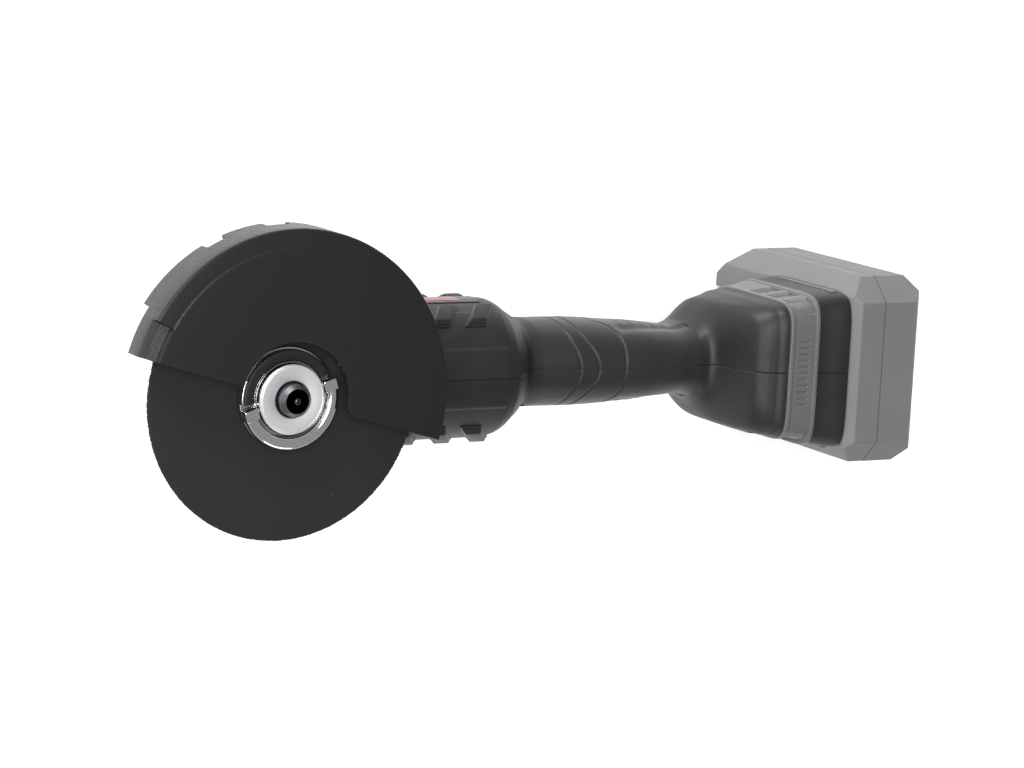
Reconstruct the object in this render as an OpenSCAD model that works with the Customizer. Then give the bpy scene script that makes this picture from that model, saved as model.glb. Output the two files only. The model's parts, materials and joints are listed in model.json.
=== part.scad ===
// Cordless angle grinder, lying on its back with the disc side up.
// +Z leaves the tool along the spindle, +X runs to the battery, and z = 0 is the back of the gear case.

/* [Disc and spindle] */
// Diameter of the cutting disc
disc_d = 125; // [115:1:125]
// Thickness of the cutting disc
disc_t = 1.6; // [1:0.2:2.4]
// Diameter of the hole in the disc
disc_hole_d = 22.2; // [22:0.1:22.4]
// Height of the disc's middle above the resting face
disc_z = 92; // [92:1:94]
// Diameter of the spindle thread
thread_d = 14; // [14:0.1:14]
// Height of the quick nut above the disc
nut_h = 8.1; // [8:0.1:9]
// Outer diameter of the quick nut
nut_d = 44.4; // [44:0.2:46]
// Direction of the bail's hinge axis in the disc plane
bail_angle = 18; // [0:1:30]

/* [Guard] */
// Outer radius of the guard cover
guard_r = 72.6; // [72:0.1:75]
// Sheet thickness of the guard cover
cover_t = 2; // [1.6:0.1:2.4]
// Height of the cover's face above the disc's middle
cover_face = 11.8; // [11.5:0.1:13]
// Direction of the guard's straight edge
guard_angle = -16; // [-20:1:-10]
// Radius of the opening round the nut
arch_r = 25; // [24:0.5:27]

/* [Gear head and motor] */
// Height of the motor axis above the resting face
motor_z = 42; // [42:1:42]
// Radius of the motor barrel
barrel_r = 31.5; // [31:0.1:32]
// Radius of the gear case round the spindle
gear_case_r = 30; // [30:0.5:31]
// Where the gear case meets the motor housing
flange_x = 42; // [42:1:44]
// Radius of the guard's seat on the bearing cover
seat_r = 21; // [20:0.5:21]
// Teeth on the crown gear
crown_teeth = 40; // [40:4:40]
// Teeth on the motor pinion
pinion_teeth = 10; // [10:1:10]
// Radius of the side handle's threaded holes
handle_hole_r = 3.4; // [3.4:0.1:4]

/* [Housing] */
// Wall thickness of the housing shells
wall = 2.8; // [2.4:0.2:3]
// Depth of the recesses that take the soft grip and the foot band
recess = 1.6; // [1.2:0.2:1.8]
// Where the soft grip starts and ends
grip_x = [146, 226];
// Where the foot band starts and ends
band_x = [255, 270];
// Where the foot ends and the battery begins
foot_x = 285; // [285:1:285]

/* [Battery] */
// Thickness of the battery behind the foot
battery_t = 39; // [36:1:60]
// Width of the battery
battery_w = 87; // [84:1:92]
// Length of the battery along the spindle direction
battery_l = 121; // [118:1:124]

/* [Hidden] */

EPS = 0.01;
FINE = 96;
running = 0.05;          // radial clearance of a running fit
play = 0.4;              // clearance between sliding parts

// heights along the spindle
disc_top = disc_z + disc_t / 2;
disc_bottom = disc_z - disc_t / 2;
face_z = disc_z + cover_face;
cover_bottom = disc_z - 5;
tab_bottom = disc_z - 11;
plate_z = disc_z - 8;         // underside of the steel guard plate
plate_t = 1.5;
seat_bottom = 75;             // top of the bearing cover's flange
seat_top = 86;
mouth_z = 70;                 // mouth of the gear case
bearing_low = 62;
bearing_high = 72;
nut_top = disc_top + nut_h;
nut_floor = disc_top + 2.2;
hinge_z = disc_z + 6;         // axis of the bail
spindle_tip = disc_z + 13.8;
gear_cavity_r = 24;
back_r = 22;                  // radius of the gear case's back
taper_z = 24;                 // where the gear case reaches its full radius
pad_t = 3;                    // thickness of the pad on its back
cavity_floor = 22;

// bevel drive
pinion_pitch_r = 4.9;
pinion_tip_r = 5.6;
pinion_root_r = 4.0;
crown_in = 17.5;
crown_out = 22.3;
tooth_tip_z = motor_z + 4.3;
tooth_root_z = motor_z + 5.9;
lock_r = 13;                  // circle of the locking holes in the crown gear
lock_pin_r = 2.7;

// Half width, low edge, high edge and corner roundness of the housing along X
HALF_W = [[42, 31.5], [117, 31.5], [121, 30.9], [124, 29.6], [127, 27.6], [132, 24.8], [137, 22.2],
    [139.5, 20.8], [141, 20.3], [150, 20], [164, 20], [175, 19.6], [190, 18.5], [200, 17.9],
    [206, 17.2], [213, 16.4], [220, 15.6], [226, 17.2], [230, 20.6], [233, 24.2], [236.5, 27.4],
    [242, 29.2], [249, 30.8], [257, 31.5], [267, 34], [272, 35], [285, 36.5]];
LOW = [[42, 10.5], [120, 10.5], [141, 11], [164, 11], [190, 12.5], [213, 14], [230, 17], [242, 20],
    [272, 22], [285, 22]];
HIGH = [[42, 73.5], [120, 73.5], [124, 73], [127, 71], [132, 66], [137, 58.5], [141, 55], [150, 56.2],
    [164, 58.1], [190, 60.9], [200, 61.7], [213, 62], [226, 60.5], [230, 60.5], [233, 62],
    [236.5, 70], [239, 77], [242, 83], [249, 87], [257, 89.5], [272, 91], [285, 93.5]];
ROUND = [[42, 2], [127, 2], [141, 2.2], [164, 2.3], [213, 2.3], [230, 2.8], [242, 4.4], [249, 6],
    [257, 7.5], [285, 7.5]];
INNER = [[42, wall], [124, wall], [141, wall + 1.4], [285, wall + 1.4]];
STATIONS = [42, 60, 80, 100, 117, 121, 124, 127, 132, 137, 139.5, 141, 143.5, 146, 155, 164, 175, 190,
    200, 206, 213, 220, 226, 230, 233, 236.5, 239, 242, 249, 255, 262, 270, 272, 279, 285];
ARC_STEPS = 14;
STEP_X = 0.1;            // length of a step between the skin and a recess
glue_gap = 0.12;         // between the grip's soft cover and the shell under it

// Screws of the housing: [x, z]
HOUSING_SCREWS = [[141.5, 42], [156, 24], [206, 30], [248, 32], [248, 74]];

function power_of(v, e) = abs(v) < 1e-9 ? 0 : sign(v) * pow(abs(v), e);

// A point of the rounded section at x, drawn in by inset, at angle t from +Y
function section_point(x, inset, t) =
    let (low = lookup(x, LOW) + inset, high = lookup(x, HIGH) - inset, e = 2 / lookup(x, ROUND))
    [x, (lookup(x, HALF_W) - inset) * power_of(cos(t), e),
        (low + high) / 2 + (high - low) / 2 * power_of(sin(t), e)];

// A closed ring of the section at x
function full_ring(x, inset, steps = 48) = [for (i = [0:steps - 1]) section_point(x, inset, -90 + 360 * i / steps)];

// A C-shaped ring of the +Y half: up the outside, then down the inside
function half_ring(x, outer, inner) = concat(
    [for (i = [0:ARC_STEPS]) section_point(x, outer, -90 + 180 * i / ARC_STEPS)],
    [for (i = [0:ARC_STEPS]) section_point(x, inner, 90 - 180 * i / ARC_STEPS)]);

// Faces of the sides between m rings of n points each
function side_faces(n, m) = [for (i = [0:m - 2], j = [0:n - 1]) let (k = (j + 1) % n, a = i * n, b = a + n)
    each [[a + j, b + j, b + k], [a + j, b + k, a + k]]];

// Solid through a list of equal convex rings, with flat ends
module loft(rings) {
    n = len(rings[0]);
    m = len(rings);
    first = [[for (j = [0:n - 1]) j]];
    last = [[for (j = [n - 1:-1:0]) (m - 1) * n + j]];
    polyhedron([for (r = rings) each r], concat(side_faces(n, m), first, last), convexity = 6);
}

// Solid through C-shaped rings; each end is a strip between the ring's outer and inner line
module shell_loft(rings) {
    n = len(rings[0]);
    m = len(rings);
    e = (m - 1) * n;
    first = [for (i = [0:n / 2 - 2]) let (k = n - 1 - i) each [[i, i + 1, k - 1], [i, k - 1, k]]];
    last = [for (i = [0:n / 2 - 2]) let (k = n - 1 - i) each [[e + i, e + k - 1, e + i + 1], [e + i, e + k, e + k - 1]]];
    polyhedron([for (r = rings) each r], concat(side_faces(n, m), first, last), convexity = 6);
}

// Ring round the housing from x0 to x1 between two insets, closed on itself
module housing_ring(x0, x1, outer, inner, steps = 56) {
    corners = [[x0, outer], [x1, outer], [x1, inner], [x0, inner]];
    pts = [for (j = [0:steps - 1], c = corners) section_point(c[0], c[1], 360 * j / steps)];
    faces = [for (j = [0:steps - 1], c = [0:3])
        let (k = (j + 1) % steps, d = (c + 1) % 4, a = 4 * j, b = 4 * k)
        each [[a + c, a + d, b + d], [a + c, b + d, b + c]]];
    polyhedron(pts, faces, convexity = 6);
}

module tube(r_out, r_in, h) {
    difference() {
        cylinder(r = r_out, h = h, $fn = FINE);
        translate([0, 0, -1]) cylinder(r = r_in, h = h + 2, $fn = FINE);
    }
}

// Anything drawn along +Z, laid along the motor axis from x
module on_motor_axis(x) {
    translate([x, 0, motor_z]) rotate([0, 90, 0]) children();
}

// Countersunk or pan-head screw, head up, with a cross recess
module screw(length, shank_r, head_r, head_h) {
    difference() {
        union() {
            translate([0, 0, -length]) cylinder(r = shank_r, h = length, $fn = 24);
            cylinder(r = head_r, h = head_h, $fn = 32);
        }
        for (a = [0, 90])
            rotate([0, 0, a]) translate([-head_r * 0.6, -0.4, head_h - 1])
                cube([head_r * 1.2, 0.8, 2]);
    }
}

// ---------------------------------------------------------------- gear head

GEAR_SCREWS = [45, 135, 225, 315];       // angles of the gear case's screws round the motor axis
COVER_SCREWS = [30, 150, 210, 330];      // angles of the bearing cover's screws round the spindle

module gear_case() {
    color("#2b2b2d") difference() {
        union() {
            translate([0, 0, taper_z]) cylinder(r = gear_case_r, h = mouth_z - taper_z, $fn = FINE);
            translate([0, 0, pad_t]) cylinder(r1 = back_r, r2 = gear_case_r, h = taper_z - pad_t, $fn = FINE);
            intersection() {
                on_motor_axis(0) cylinder(r = barrel_r, h = flange_x, $fn = FINE);
                translate([0, -40, 0]) cube([flange_x, 80, 80]);
                union() {
                    translate([-1, -40, 0]) cube([flange_x + 1, 80, mouth_z]);
                    translate([gear_case_r + 4, -40, 0]) cube([flange_x, 80, 80]);
                }
            }
            // bosses for the side handle
            for (s = [-1, 1])
                translate([0, s * (gear_case_r - 4), motor_z]) rotate([-90 * s, 0, 0])
                    cylinder(r = 9, h = 8, $fn = FINE);
        }
        // gear chamber, needle bearing seat and tunnel for the pinion
        translate([0, 0, cavity_floor]) cylinder(r = gear_cavity_r, h = 60, $fn = FINE);
        translate([0, 0, 10]) cylinder(r = 7, h = 20, $fn = FINE);
        on_motor_axis(0) cylinder(r = 9, h = 33, $fn = FINE);
        on_motor_axis(31) cylinder(r = 11, h = 20, $fn = FINE);
        // air outlets beside the bearing wall
        for (a = [20, 70, 110, 160, 200, 250, 290, 340])
            on_motor_axis(26) rotate([0, 0, a]) translate([22, -3, 0]) cube([4.5, 6, 30]);
        // threaded holes for the side handle
        for (s = [-1, 1])
            translate([0, s * (gear_cavity_r + 1.5), motor_z]) rotate([-90 * s, 0, 0])
                cylinder(r = handle_hole_r, h = 12, $fn = FINE);
        // way for the lock pin
        translate([-lock_r, 0, -1]) cylinder(r = lock_pin_r + running, h = 30, $fn = 48);
        translate([-lock_r, 0, -1]) cylinder(r = 6.6, h = 13, $fn = 48);
        // screw holes
        for (a = GEAR_SCREWS)
            on_motor_axis(0) rotate([0, 0, a]) translate([27.5, 0, 20]) {
                cylinder(r = 1.9, h = 30, $fn = 24);
                cylinder(r = 3.4, h = 12, $fn = 32);
            }
        for (a = COVER_SCREWS)
            rotate([0, 0, a]) translate([27, 0, mouth_z - 14]) cylinder(r = 1.9, h = 20, $fn = 24);
    }
}

// Hard-wearing pad on the flat back of the gear case
module gear_case_pad() {
    color("#1d1d1e") difference() {
        cylinder(r1 = back_r - 1.5, r2 = back_r, h = pad_t, $fn = FINE);
        translate([-lock_r, 0, -1]) cylinder(r = 8.6, h = 6, $fn = 48);
    }
}

module gear_case_screws() {
    color("#8d8f92")
        for (a = GEAR_SCREWS)
            on_motor_axis(32) rotate([0, 0, a]) translate([27.5, 0, 0]) rotate([180, 0, 0])
                screw(flange_x - 32.5, 1.9, 3.3, 3);
}

module bearing_cover() {
    color("#3a3b3d") difference() {
        union() {
            translate([0, 0, mouth_z]) cylinder(r = gear_case_r, h = seat_bottom - mouth_z, $fn = FINE);
            translate([0, 0, bearing_low - 1]) cylinder(r = gear_cavity_r, h = 12, $fn = FINE);
            translate([0, 0, seat_bottom - 1]) cylinder(r = seat_r, h = seat_top - seat_bottom + 1, $fn = FINE);
        }
        cylinder(r = 16, h = bearing_high, $fn = FINE);
        cylinder(r = 9.3, h = 120, $fn = FINE);
        for (a = COVER_SCREWS)
            rotate([0, 0, a]) translate([27, 0, mouth_z]) {
                translate([0, 0, -1]) cylinder(r = 1.9, h = 20, $fn = 24);
                translate([0, 0, 2.4]) cylinder(r = 2.9, h = 5, $fn = 32);
            }
        // flat that clears the barrel
        translate([gear_case_r - 0.5, -40, mouth_z - 1]) cube([20, 80, 20]);
    }
}

module bearing_cover_screws() {
    color("#8d8f92")
        for (a = COVER_SCREWS)
            rotate([0, 0, a]) translate([27, 0, mouth_z + 2.4]) screw(14, 1.9, 2.8, 2.4);
}

// Rings, balls and race of a ball bearing along +Z
module ball_bearing(bore_r, out_r, h) {
    mid = (bore_r + out_r) / 2;
    ball = min(h / 2 - 1, (out_r - bore_r) / 4);
    difference() {
        tube(out_r, bore_r, h);
        translate([0, 0, h / 2]) rotate_extrude($fn = FINE)
            translate([mid, 0]) circle(r = ball, $fn = 24);
        translate([0, 0, h - 0.8]) tube(mid + ball * 0.9, mid - ball * 0.9, 2);
        translate([0, 0, -1.2]) tube(mid + ball * 0.9, mid - ball * 0.9, 2);
    }
}

module spindle_ball_bearing() {
    color("#a9acb0") translate([0, 0, bearing_low]) ball_bearing(6 + running, 16, bearing_high - bearing_low);
}

module spindle_needle_bearing() {
    color("#a9acb0") translate([0, 0, 11]) tube(7, 4 + running, 10);
}

module pinion_bearing() {
    color("#a9acb0") on_motor_axis(31) ball_bearing(4 + running, 11, 7);
}

module motor_rear_bearing() {
    color("#a9acb0") on_motor_axis(110) ball_bearing(3 + running, 9.5, 6);
}

// ---------------------------------------------------------------- motor

core_r = barrel_r - wall - 0.3;          // what fits inside the barrel

module motor_end_bracket() {
    color("#3b3b3d") on_motor_axis(107) union() {
        tube(core_r, core_r - 3, 8);
        tube(12, 9.5, 9);
        for (a = [0:60:300]) rotate([0, 0, a]) translate([11.5, -2, 3]) cube([15, 4, 5]);
    }
}

module stator_core() {
    color("#77797c") on_motor_axis(60) difference() {
        tube(core_r, 14.6, 40);
        for (a = [0:60:300])
            rotate([0, 0, a]) translate([16, -4.5, -1]) cube([8.5, 9, 42]);
    }
}

module stator_windings() {
    color("#b5682e") on_motor_axis(57)
        for (a = [0:60:300])
            rotate([0, 0, a]) translate([16.3, -4.1, 0]) cube([7.8, 8.2, 46]);
}

module rotor_shaft() {
    color("#9a9da1") union() {
        on_motor_axis(14) cylinder(r = 2.8, h = 14, $fn = 48);
        on_motor_axis(25) cylinder(r = 4, h = 16, $fn = 48);
        on_motor_axis(40) cylinder(r = 5, h = 66, $fn = 48);
        on_motor_axis(105) cylinder(r = 3, h = 13, $fn = 48);
    }
}

module rotor_core() {
    color("#6f7174") on_motor_axis(61) tube(12.2, 5, 38);
}

module rotor_magnets() {
    color("#4c4f55") on_motor_axis(61)
        for (a = [0:90:270])
            rotate([0, 0, a]) rotate_extrude(angle = 80, $fn = FINE) translate([12.2, 0]) square([1.9, 38]);
}

module cooling_fan() {
    color("#1c1c1d") on_motor_axis(45) union() {
        tube(25.5, 5, 1.6);
        tube(9, 5, 9);
        for (a = [0:24:336])
            rotate([0, 0, a]) translate([10, -0.8, 1]) cube([15, 1.6, 8]);
    }
}

module pinion_tooth() {
    polygon([[pinion_root_r - 0.6, -0.75], [pinion_pitch_r, -0.45], [pinion_tip_r, -0.22],
        [pinion_tip_r, 0.22], [pinion_pitch_r, 0.45], [pinion_root_r - 0.6, 0.75]]);
}

module pinion() {
    color("#8b8d90") on_motor_axis(crown_in) difference() {
        union() {
            cylinder(r = pinion_root_r, h = crown_out - crown_in + 1.5, $fn = 48);
            linear_extrude(crown_out - crown_in + 1)
                for (i = [0:pinion_teeth - 1])
                    rotate(180 / pinion_teeth + 360 * i / pinion_teeth) pinion_tooth();
        }
        translate([0, 0, -1]) cylinder(r = 2.8, h = 20, $fn = 48);
    }
}

// ---------------------------------------------------------------- spindle group

module spindle() {
    color("#4b4d50") difference() {
        union() {
            translate([0, 0, 10.5]) cylinder(r = 4, h = 14, $fn = FINE);
            translate([0, 0, 24]) cylinder(r = 5.5, h = bearing_low - 24, $fn = FINE);
            translate([0, 0, bearing_low - EPS]) cylinder(r = 6, h = 10.5, $fn = FINE);
            translate([0, 0, bearing_high]) cylinder(r = 8.5, h = 14.8, $fn = FINE);
            translate([0, 0, bearing_high + 14]) cylinder(r = thread_d / 2, h = spindle_tip - 1.6 - bearing_high - 14, $fn = FINE);
            translate([0, 0, spindle_tip - 1.6]) cylinder(r1 = thread_d / 2, r2 = 5.4, h = 1.6, $fn = FINE);
        }
        translate([0, 0, spindle_tip - 3]) cylinder(r = 1.05, h = 4, $fn = 24);
    }
}

module crown_tooth() {
    // section across the tooth: tip towards the pinion
    polygon([[-0.34, tooth_tip_z], [0.34, tooth_tip_z], [0.6, tooth_root_z + 0.3], [-0.6, tooth_root_z + 0.3]]);
}

module crown_gear() {
    color("#7d8084") difference() {
        union() {
            translate([0, 0, tooth_root_z]) cylinder(r = crown_out, h = 7.1, $fn = FINE);
            translate([0, 0, motor_z + 4]) cylinder(r = 9, h = 13, $fn = FINE);
            for (i = [0:crown_teeth - 1])
                rotate([0, 0, 360 * i / crown_teeth]) translate([crown_in, 0, 0])
                    rotate([90, 0, 90]) linear_extrude(crown_out - crown_in - 0.2) crown_tooth();
        }
        cylinder(r = 5.5, h = 100, $fn = FINE);
        for (a = [0:90:270])
            rotate([0, 0, a]) translate([lock_r, 0, 0]) cylinder(r = lock_pin_r + play, h = 100, $fn = 48);
    }
}

module gear_retaining_ring() {
    color("#8b8d90") translate([0, 0, motor_z + 2.6]) difference() {
        tube(8, 5.5, 1.4);
        translate([0, -1.5, -1]) cube([10, 3, 4]);
    }
}

module inner_flange() {
    color("#55585b") difference() {
        union() {
            translate([0, 0, seat_top + 1.6]) cylinder(r = 20, h = disc_bottom - seat_top - 1.6, $fn = FINE);
            translate([0, 0, seat_top + 0.8]) cylinder(r = 13, h = 2, $fn = FINE);
            translate([0, 0, disc_bottom - 1]) cylinder(r = disc_hole_d / 2, h = 2.2, $fn = FINE);
        }
        cylinder(r = thread_d / 2, h = 120, $fn = FINE);
        // relief so that only the rim grips the disc
        translate([0, 0, disc_bottom - 0.6]) tube(17, 13, 2);
    }
}

module cutting_disc() {
    color("#2a2a2b") translate([0, 0, disc_bottom]) tube(disc_d / 2, disc_hole_d / 2 + 1.2, disc_t);
}

module disc_bush() {
    color("#b9bbbd") translate([0, 0, disc_bottom]) tube(disc_hole_d / 2 + 1.2, disc_hole_d / 2, disc_t);
}

// Half plane on the +v side of the bail's hinge axis, from v0
module above_hinge(v0) {
    rotate([0, 0, bail_angle]) translate([-40, v0, 60]) cube([80, 60, 60]);
}

module nut_body() {
    color("#b4b6b8") difference() {
        union() {
            translate([0, 0, disc_top]) cylinder(r = nut_d / 2 - 0.4, h = nut_floor - disc_top, $fn = FINE);
            translate([0, 0, nut_floor - 1]) cylinder(r = 14.6, h = nut_top - nut_floor - 0.4, $fn = FINE);
            intersection() {
                translate([0, 0, nut_floor - 1]) tube(nut_d / 2 - 0.4, nut_d / 2 - 1.4, 3.2);
                above_hinge(2.5);
            }
        }
        cylinder(r = thread_d / 2, h = 120, $fn = FINE);
        translate([0, 0, nut_top - 3]) cylinder(r = 7.8, h = 5, $fn = FINE);
        translate([0, 0, disc_top - 1]) cylinder(r = disc_hole_d / 2 + 0.2, h = 2, $fn = FINE);
        // bores for the bail's pins
        rotate([0, 0, bail_angle]) for (s = [-1, 1])
            translate([s * 10.5, 0, hinge_z]) rotate([0, 90 * s, 0]) cylinder(r = 1.2 + running, h = 8, $fn = 48);
    }
}

module nut_insert() {
    color("#1f1f20") intersection() {
        translate([0, 0, nut_floor]) tube(nut_d / 2 - 1.4, 16.2, 2.8);
        above_hinge(2.5);
    }
}

module nut_face() {
    color("#d4d5d6") translate([0, 0, nut_top - 1.4]) tube(15, 7.8, 1.4);
}

bail_r = 19.4;
bail_rod_r = 2.7;

module nut_bail() {
    color("#d9dadb") difference() {
        union() {
            translate([0, 0, hinge_z]) rotate([0, 0, bail_angle + 186])
                rotate_extrude(angle = 168, $fn = FINE) translate([bail_r, 0]) circle(r = bail_rod_r, $fn = 32);
            rotate([0, 0, bail_angle]) for (s = [-1, 1])
                translate([s * bail_r, 0, hinge_z]) {
                    rotate([0, 90, 0]) translate([0, 0, -2.5]) cylinder(r = 2.2, h = 5, $fn = 48);
                    translate([-2.5, -3.6, -2]) cube([5, 3.6, 4]);
                }
        }
        rotate([0, 0, bail_angle]) translate([-30, 0, hinge_z]) rotate([0, 90, 0]) cylinder(r = 1.2, h = 60, $fn = 48);
    }
}

module bail_pins() {
    color("#8b8d90") rotate([0, 0, bail_angle]) for (s = [-1, 1])
        translate([s * 11, 0, hinge_z]) rotate([0, 90 * s, 0]) cylinder(r = 1.2, h = 10.4, $fn = 48);
}

// ---------------------------------------------------------------- guard

// Turns a profile of [radius, height] through a sweep that starts at a0
module turned(a0, sweep) {
    rotate([0, 0, a0]) rotate_extrude(angle = sweep, $fn = 180) children();
}

RIM_GAPS = [[-20, 90], [88, 9], [111.5, 8.1], [147, 20]];    // start and sweep between the cover's tabs
notch_a = 150.7;                                             // where the notch at the guard's end starts

module guard_cover() {
    slope_r = 64.5;
    rim_in = guard_r - cover_t;
    hook_r = guard_r - 4.4;
    color("#2c2c2d") difference() {
        turned(guard_angle, 180) polygon([[hook_r, tab_bottom], [guard_r - 0.8, tab_bottom],
            [guard_r, tab_bottom + 0.8], [guard_r, face_z - 1.7], [guard_r - 0.9, face_z - 0.9],
            [slope_r, face_z], [arch_r, face_z], [arch_r, face_z - cover_t], [slope_r, face_z - cover_t],
            [rim_in, face_z - cover_t - 0.9], [rim_in, plate_z - play], [hook_r, plate_z - play]]);
        // gaps between the snap tabs
        for (g = RIM_GAPS)
            turned(g[0], g[1]) translate([hook_r - 4, tab_bottom - 4]) square([12, cover_bottom - tab_bottom + 4]);
        // notch that leaves a leg of the rim
        turned(notch_a, 20) polygon([[65.5, face_z - 4.6], [80, face_z - 4.6], [80, face_z + 2],
            [65.5, face_z + 2]]);
    }
}

module guard_base() {
    rim_out = guard_r - cover_t - 0.3;
    color("#3c3d3f") union() {
        turned(guard_angle + 2, 176) polygon([[25, plate_z], [rim_out, plate_z],
            [rim_out, disc_z + 5.2], [64.6, disc_z + 5.2], [64.6, disc_z + 3.7],
            [rim_out - plate_t, disc_z + 3.7], [rim_out - plate_t, plate_z + plate_t],
            [25, plate_z + plate_t]]);
        translate([0, 0, plate_z]) tube(28, seat_r + running, plate_t);
    }
}

collar_angle = 262;                     // where the clamp's lugs stand
lever_p = [27.6, 0];                    // lever axis from the spindle, at the collar angle

module at_lever() {
    rotate([0, 0, collar_angle]) translate([lever_p[0], lever_p[1], 0]) children();
}

module guard_collar() {
    color("#6c6f72") difference() {
        union() {
            translate([0, 0, plate_z - 7.8]) tube(23.4, seat_r + running, 7.8);
            at_lever() for (z = [plate_z - 7.8, plate_z - 1.4])
                translate([0, 0, z]) {
                    cylinder(r = 4, h = 1.4, $fn = 48);
                    translate([-5.2, -4, 0]) cube([5.2, 8, 1.4]);
                }
        }
        cylinder(r = seat_r + running, h = 120, $fn = FINE);
        at_lever() translate([0, 0, 60]) cylinder(r = 1.5, h = 40, $fn = 48);
    }
}

module guard_lever_pin() {
    color("#9a9da1") at_lever() translate([0, 0, plate_z - 7.8]) cylinder(r = 1.5, h = 7.8, $fn = 48);
}

module guard_lever() {
    z0 = plate_z - 6;
    color("#8c1f23") at_lever() difference() {
        union() {
            translate([0, 0, z0]) cylinder(r = 3.6, h = 4.2, $fn = 48);
            translate([0, 0, z0]) rotate([0, 0, 8]) translate([1, 0, 0]) {
                cube([2.6, 27, 4.2]);
                translate([1.3, 27, 0]) cylinder(r = 2.4, h = 4.2, $fn = 32);
            }
        }
        translate([0, 0, 60]) cylinder(r = 1.5 + running, h = 40, $fn = 48);
    }
}

// ---------------------------------------------------------------- housing

// Left (+Y) shell before its holes: the barrel, the neck of the grip and the flared foot
module shell_blank() {
    skin = [for (x = STATIONS) [x, lookup(x, INNER)]];
    before = [for (s = skin) if (s[0] < grip_x[0]) half_ring(s[0], 0, s[1])];
    grip = [for (x = [grip_x[0], for (s = skin) if (s[0] > grip_x[0] && s[0] < grip_x[1]) s[0], grip_x[1]])
        half_ring(x, recess, lookup(x, INNER))];
    middle = [for (x = [grip_x[1] + STEP_X, for (s = skin) if (s[0] > grip_x[1] && s[0] < band_x[0]) s[0], band_x[0]])
        half_ring(x, 0, lookup(x, INNER))];
    band = [for (x = [band_x[0] + STEP_X, band_x[1]]) half_ring(x, recess, lookup(x, INNER))];
    after = [for (x = [band_x[1] + STEP_X, for (s = skin) if (s[0] > band_x[1]) s[0]])
        half_ring(x, 0, lookup(x, INNER))];
    shell_loft(concat(before, [half_ring(grip_x[0] - STEP_X, 0, lookup(grip_x[0], INNER))], grip, middle, band, after));
}

// Round bars along Y at the housing screws
module screw_bars(r, from_y, to_y) {
    for (p = HOUSING_SCREWS)
        translate([p[0], from_y, p[1]]) rotate([-90, 0, 0]) cylinder(r = r, h = to_y - from_y, $fn = 32);
}

// Posts on the +Y side that meet those of the other shell in the middle plane
module screw_posts() {
    for (p = HOUSING_SCREWS)
        translate([p[0], 0, p[1]]) rotate([-90, 0, 0])
            cylinder(r = 4.2, h = lookup(p[0], HALF_W) - lookup(p[0], INNER) - 0.4, $fn = 32);
}

// Slot in the underside that the switch slider moves in
module switch_slot() {
    translate([switch_x - 9, -5, 8]) cube([22, 10, 8]);
}

module housing_shell_left() {
    color("#2e2e30") difference() {
        union() {
            shell_blank();
            screw_posts();
        }
        screw_bars(1.5, -1, 12);
        switch_slot();
    }
}

module housing_shell_right() {
    color("#2e2e30") difference() {
        union() {
            mirror([0, 1, 0]) shell_blank();
            mirror([0, 1, 0]) screw_posts();
        }
        screw_bars(3.1, -40, -9);
        screw_bars(1.7, -10, 1);
        switch_slot();
    }
}

module housing_screws() {
    color("#8d8f92")
        for (p = HOUSING_SCREWS)
            translate([p[0], -9, p[1]]) rotate([90, 0, 0]) screw(18, 1.5, 2.9, 2.4);
}

// Raised block on the barrel at angle a from +Y, x0 to x0 + w, with its far edges chamfered
module stud(x0, w, a, span) {
    rise = 3;
    on_motor_axis(x0) rotate([0, 0, 90 - a - span / 2])
        rotate_extrude(angle = span, $fn = FINE)
            polygon([[barrel_r, 0], [barrel_r + rise, 1.6], [barrel_r + rise, w - 1.6], [barrel_r, w]]);
}

STUD_XS = [67.5, 85.5, 103.5];
stud_w = 11.5;
module bumper_studs_left() {
    color("#242425") for (x = STUD_XS, a = [32, -32]) stud(x, stud_w, a, 20);
}

module bumper_studs_right() {
    color("#242425") mirror([0, 1, 0]) for (x = STUD_XS, a = [32, -32]) stud(x, stud_w, a, 20);
}

module side_label() {
    color("#7c2b2f") on_motor_axis(52) rotate([0, 0, 90 - 14])
        rotate_extrude(angle = 28, $fn = FINE) translate([barrel_r, 0]) square([0.4, 58]);
}

module overmould_half() {
    between = [for (s = STATIONS) if (s > grip_x[0] && s < grip_x[1]) s];
    shell_loft([for (x = concat(grip_x[0] + STEP_X, between, grip_x[1] - STEP_X))
        half_ring(x, 0, recess - glue_gap)]);
}

module grip_overmould_left() {
    color("#29292a") overmould_half();
}

module grip_overmould_right() {
    color("#29292a") difference() {
        mirror([0, 1, 0]) overmould_half();
        screw_bars(3.1, -40, -9);
    }
}

module foot_band() {
    color("#858687") housing_ring(band_x[0] + 2 * STEP_X, band_x[1] - STEP_X, -0.3, recess);
}

// ---------------------------------------------------------------- inside the grip and foot

rail_y = 21;                 // middle of each rail's web
rail_low = 30;
rail_high = 82;

module battery_mount() {
    color("#232324") difference() {
        union() {
            loft([for (x = [foot_x - 4, foot_x]) full_ring(x, lookup(x, INNER) + 0.6)]);
            for (s = [-1, 1]) translate([foot_x - 1, 0, rail_low]) {
                translate([0, s * rail_y - 1.6, 0]) cube([10, 3.2, rail_high - rail_low]);
                translate([6.5, s > 0 ? rail_y - 1.6 : -rail_y - 3.4, 0]) cube([3.5, 5, rail_high - rail_low]);
            }
        }
        translate([foot_x - 5, -9, terminal_z]) cube([6, 18, 22]);
    }
}

terminal_z = 40;
TERMINAL_YS = [-6, -2, 2, 6];

module terminal_block() {
    color("#161617") translate([foot_x - 7, -9, terminal_z]) cube([11, 18, 22]);
}

module terminal_blades() {
    color("#c2a25a") for (y = TERMINAL_YS)
        translate([foot_x + 0.8, y - 0.4, terminal_z + 22]) cube([3, 0.8, 13]);
}

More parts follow.
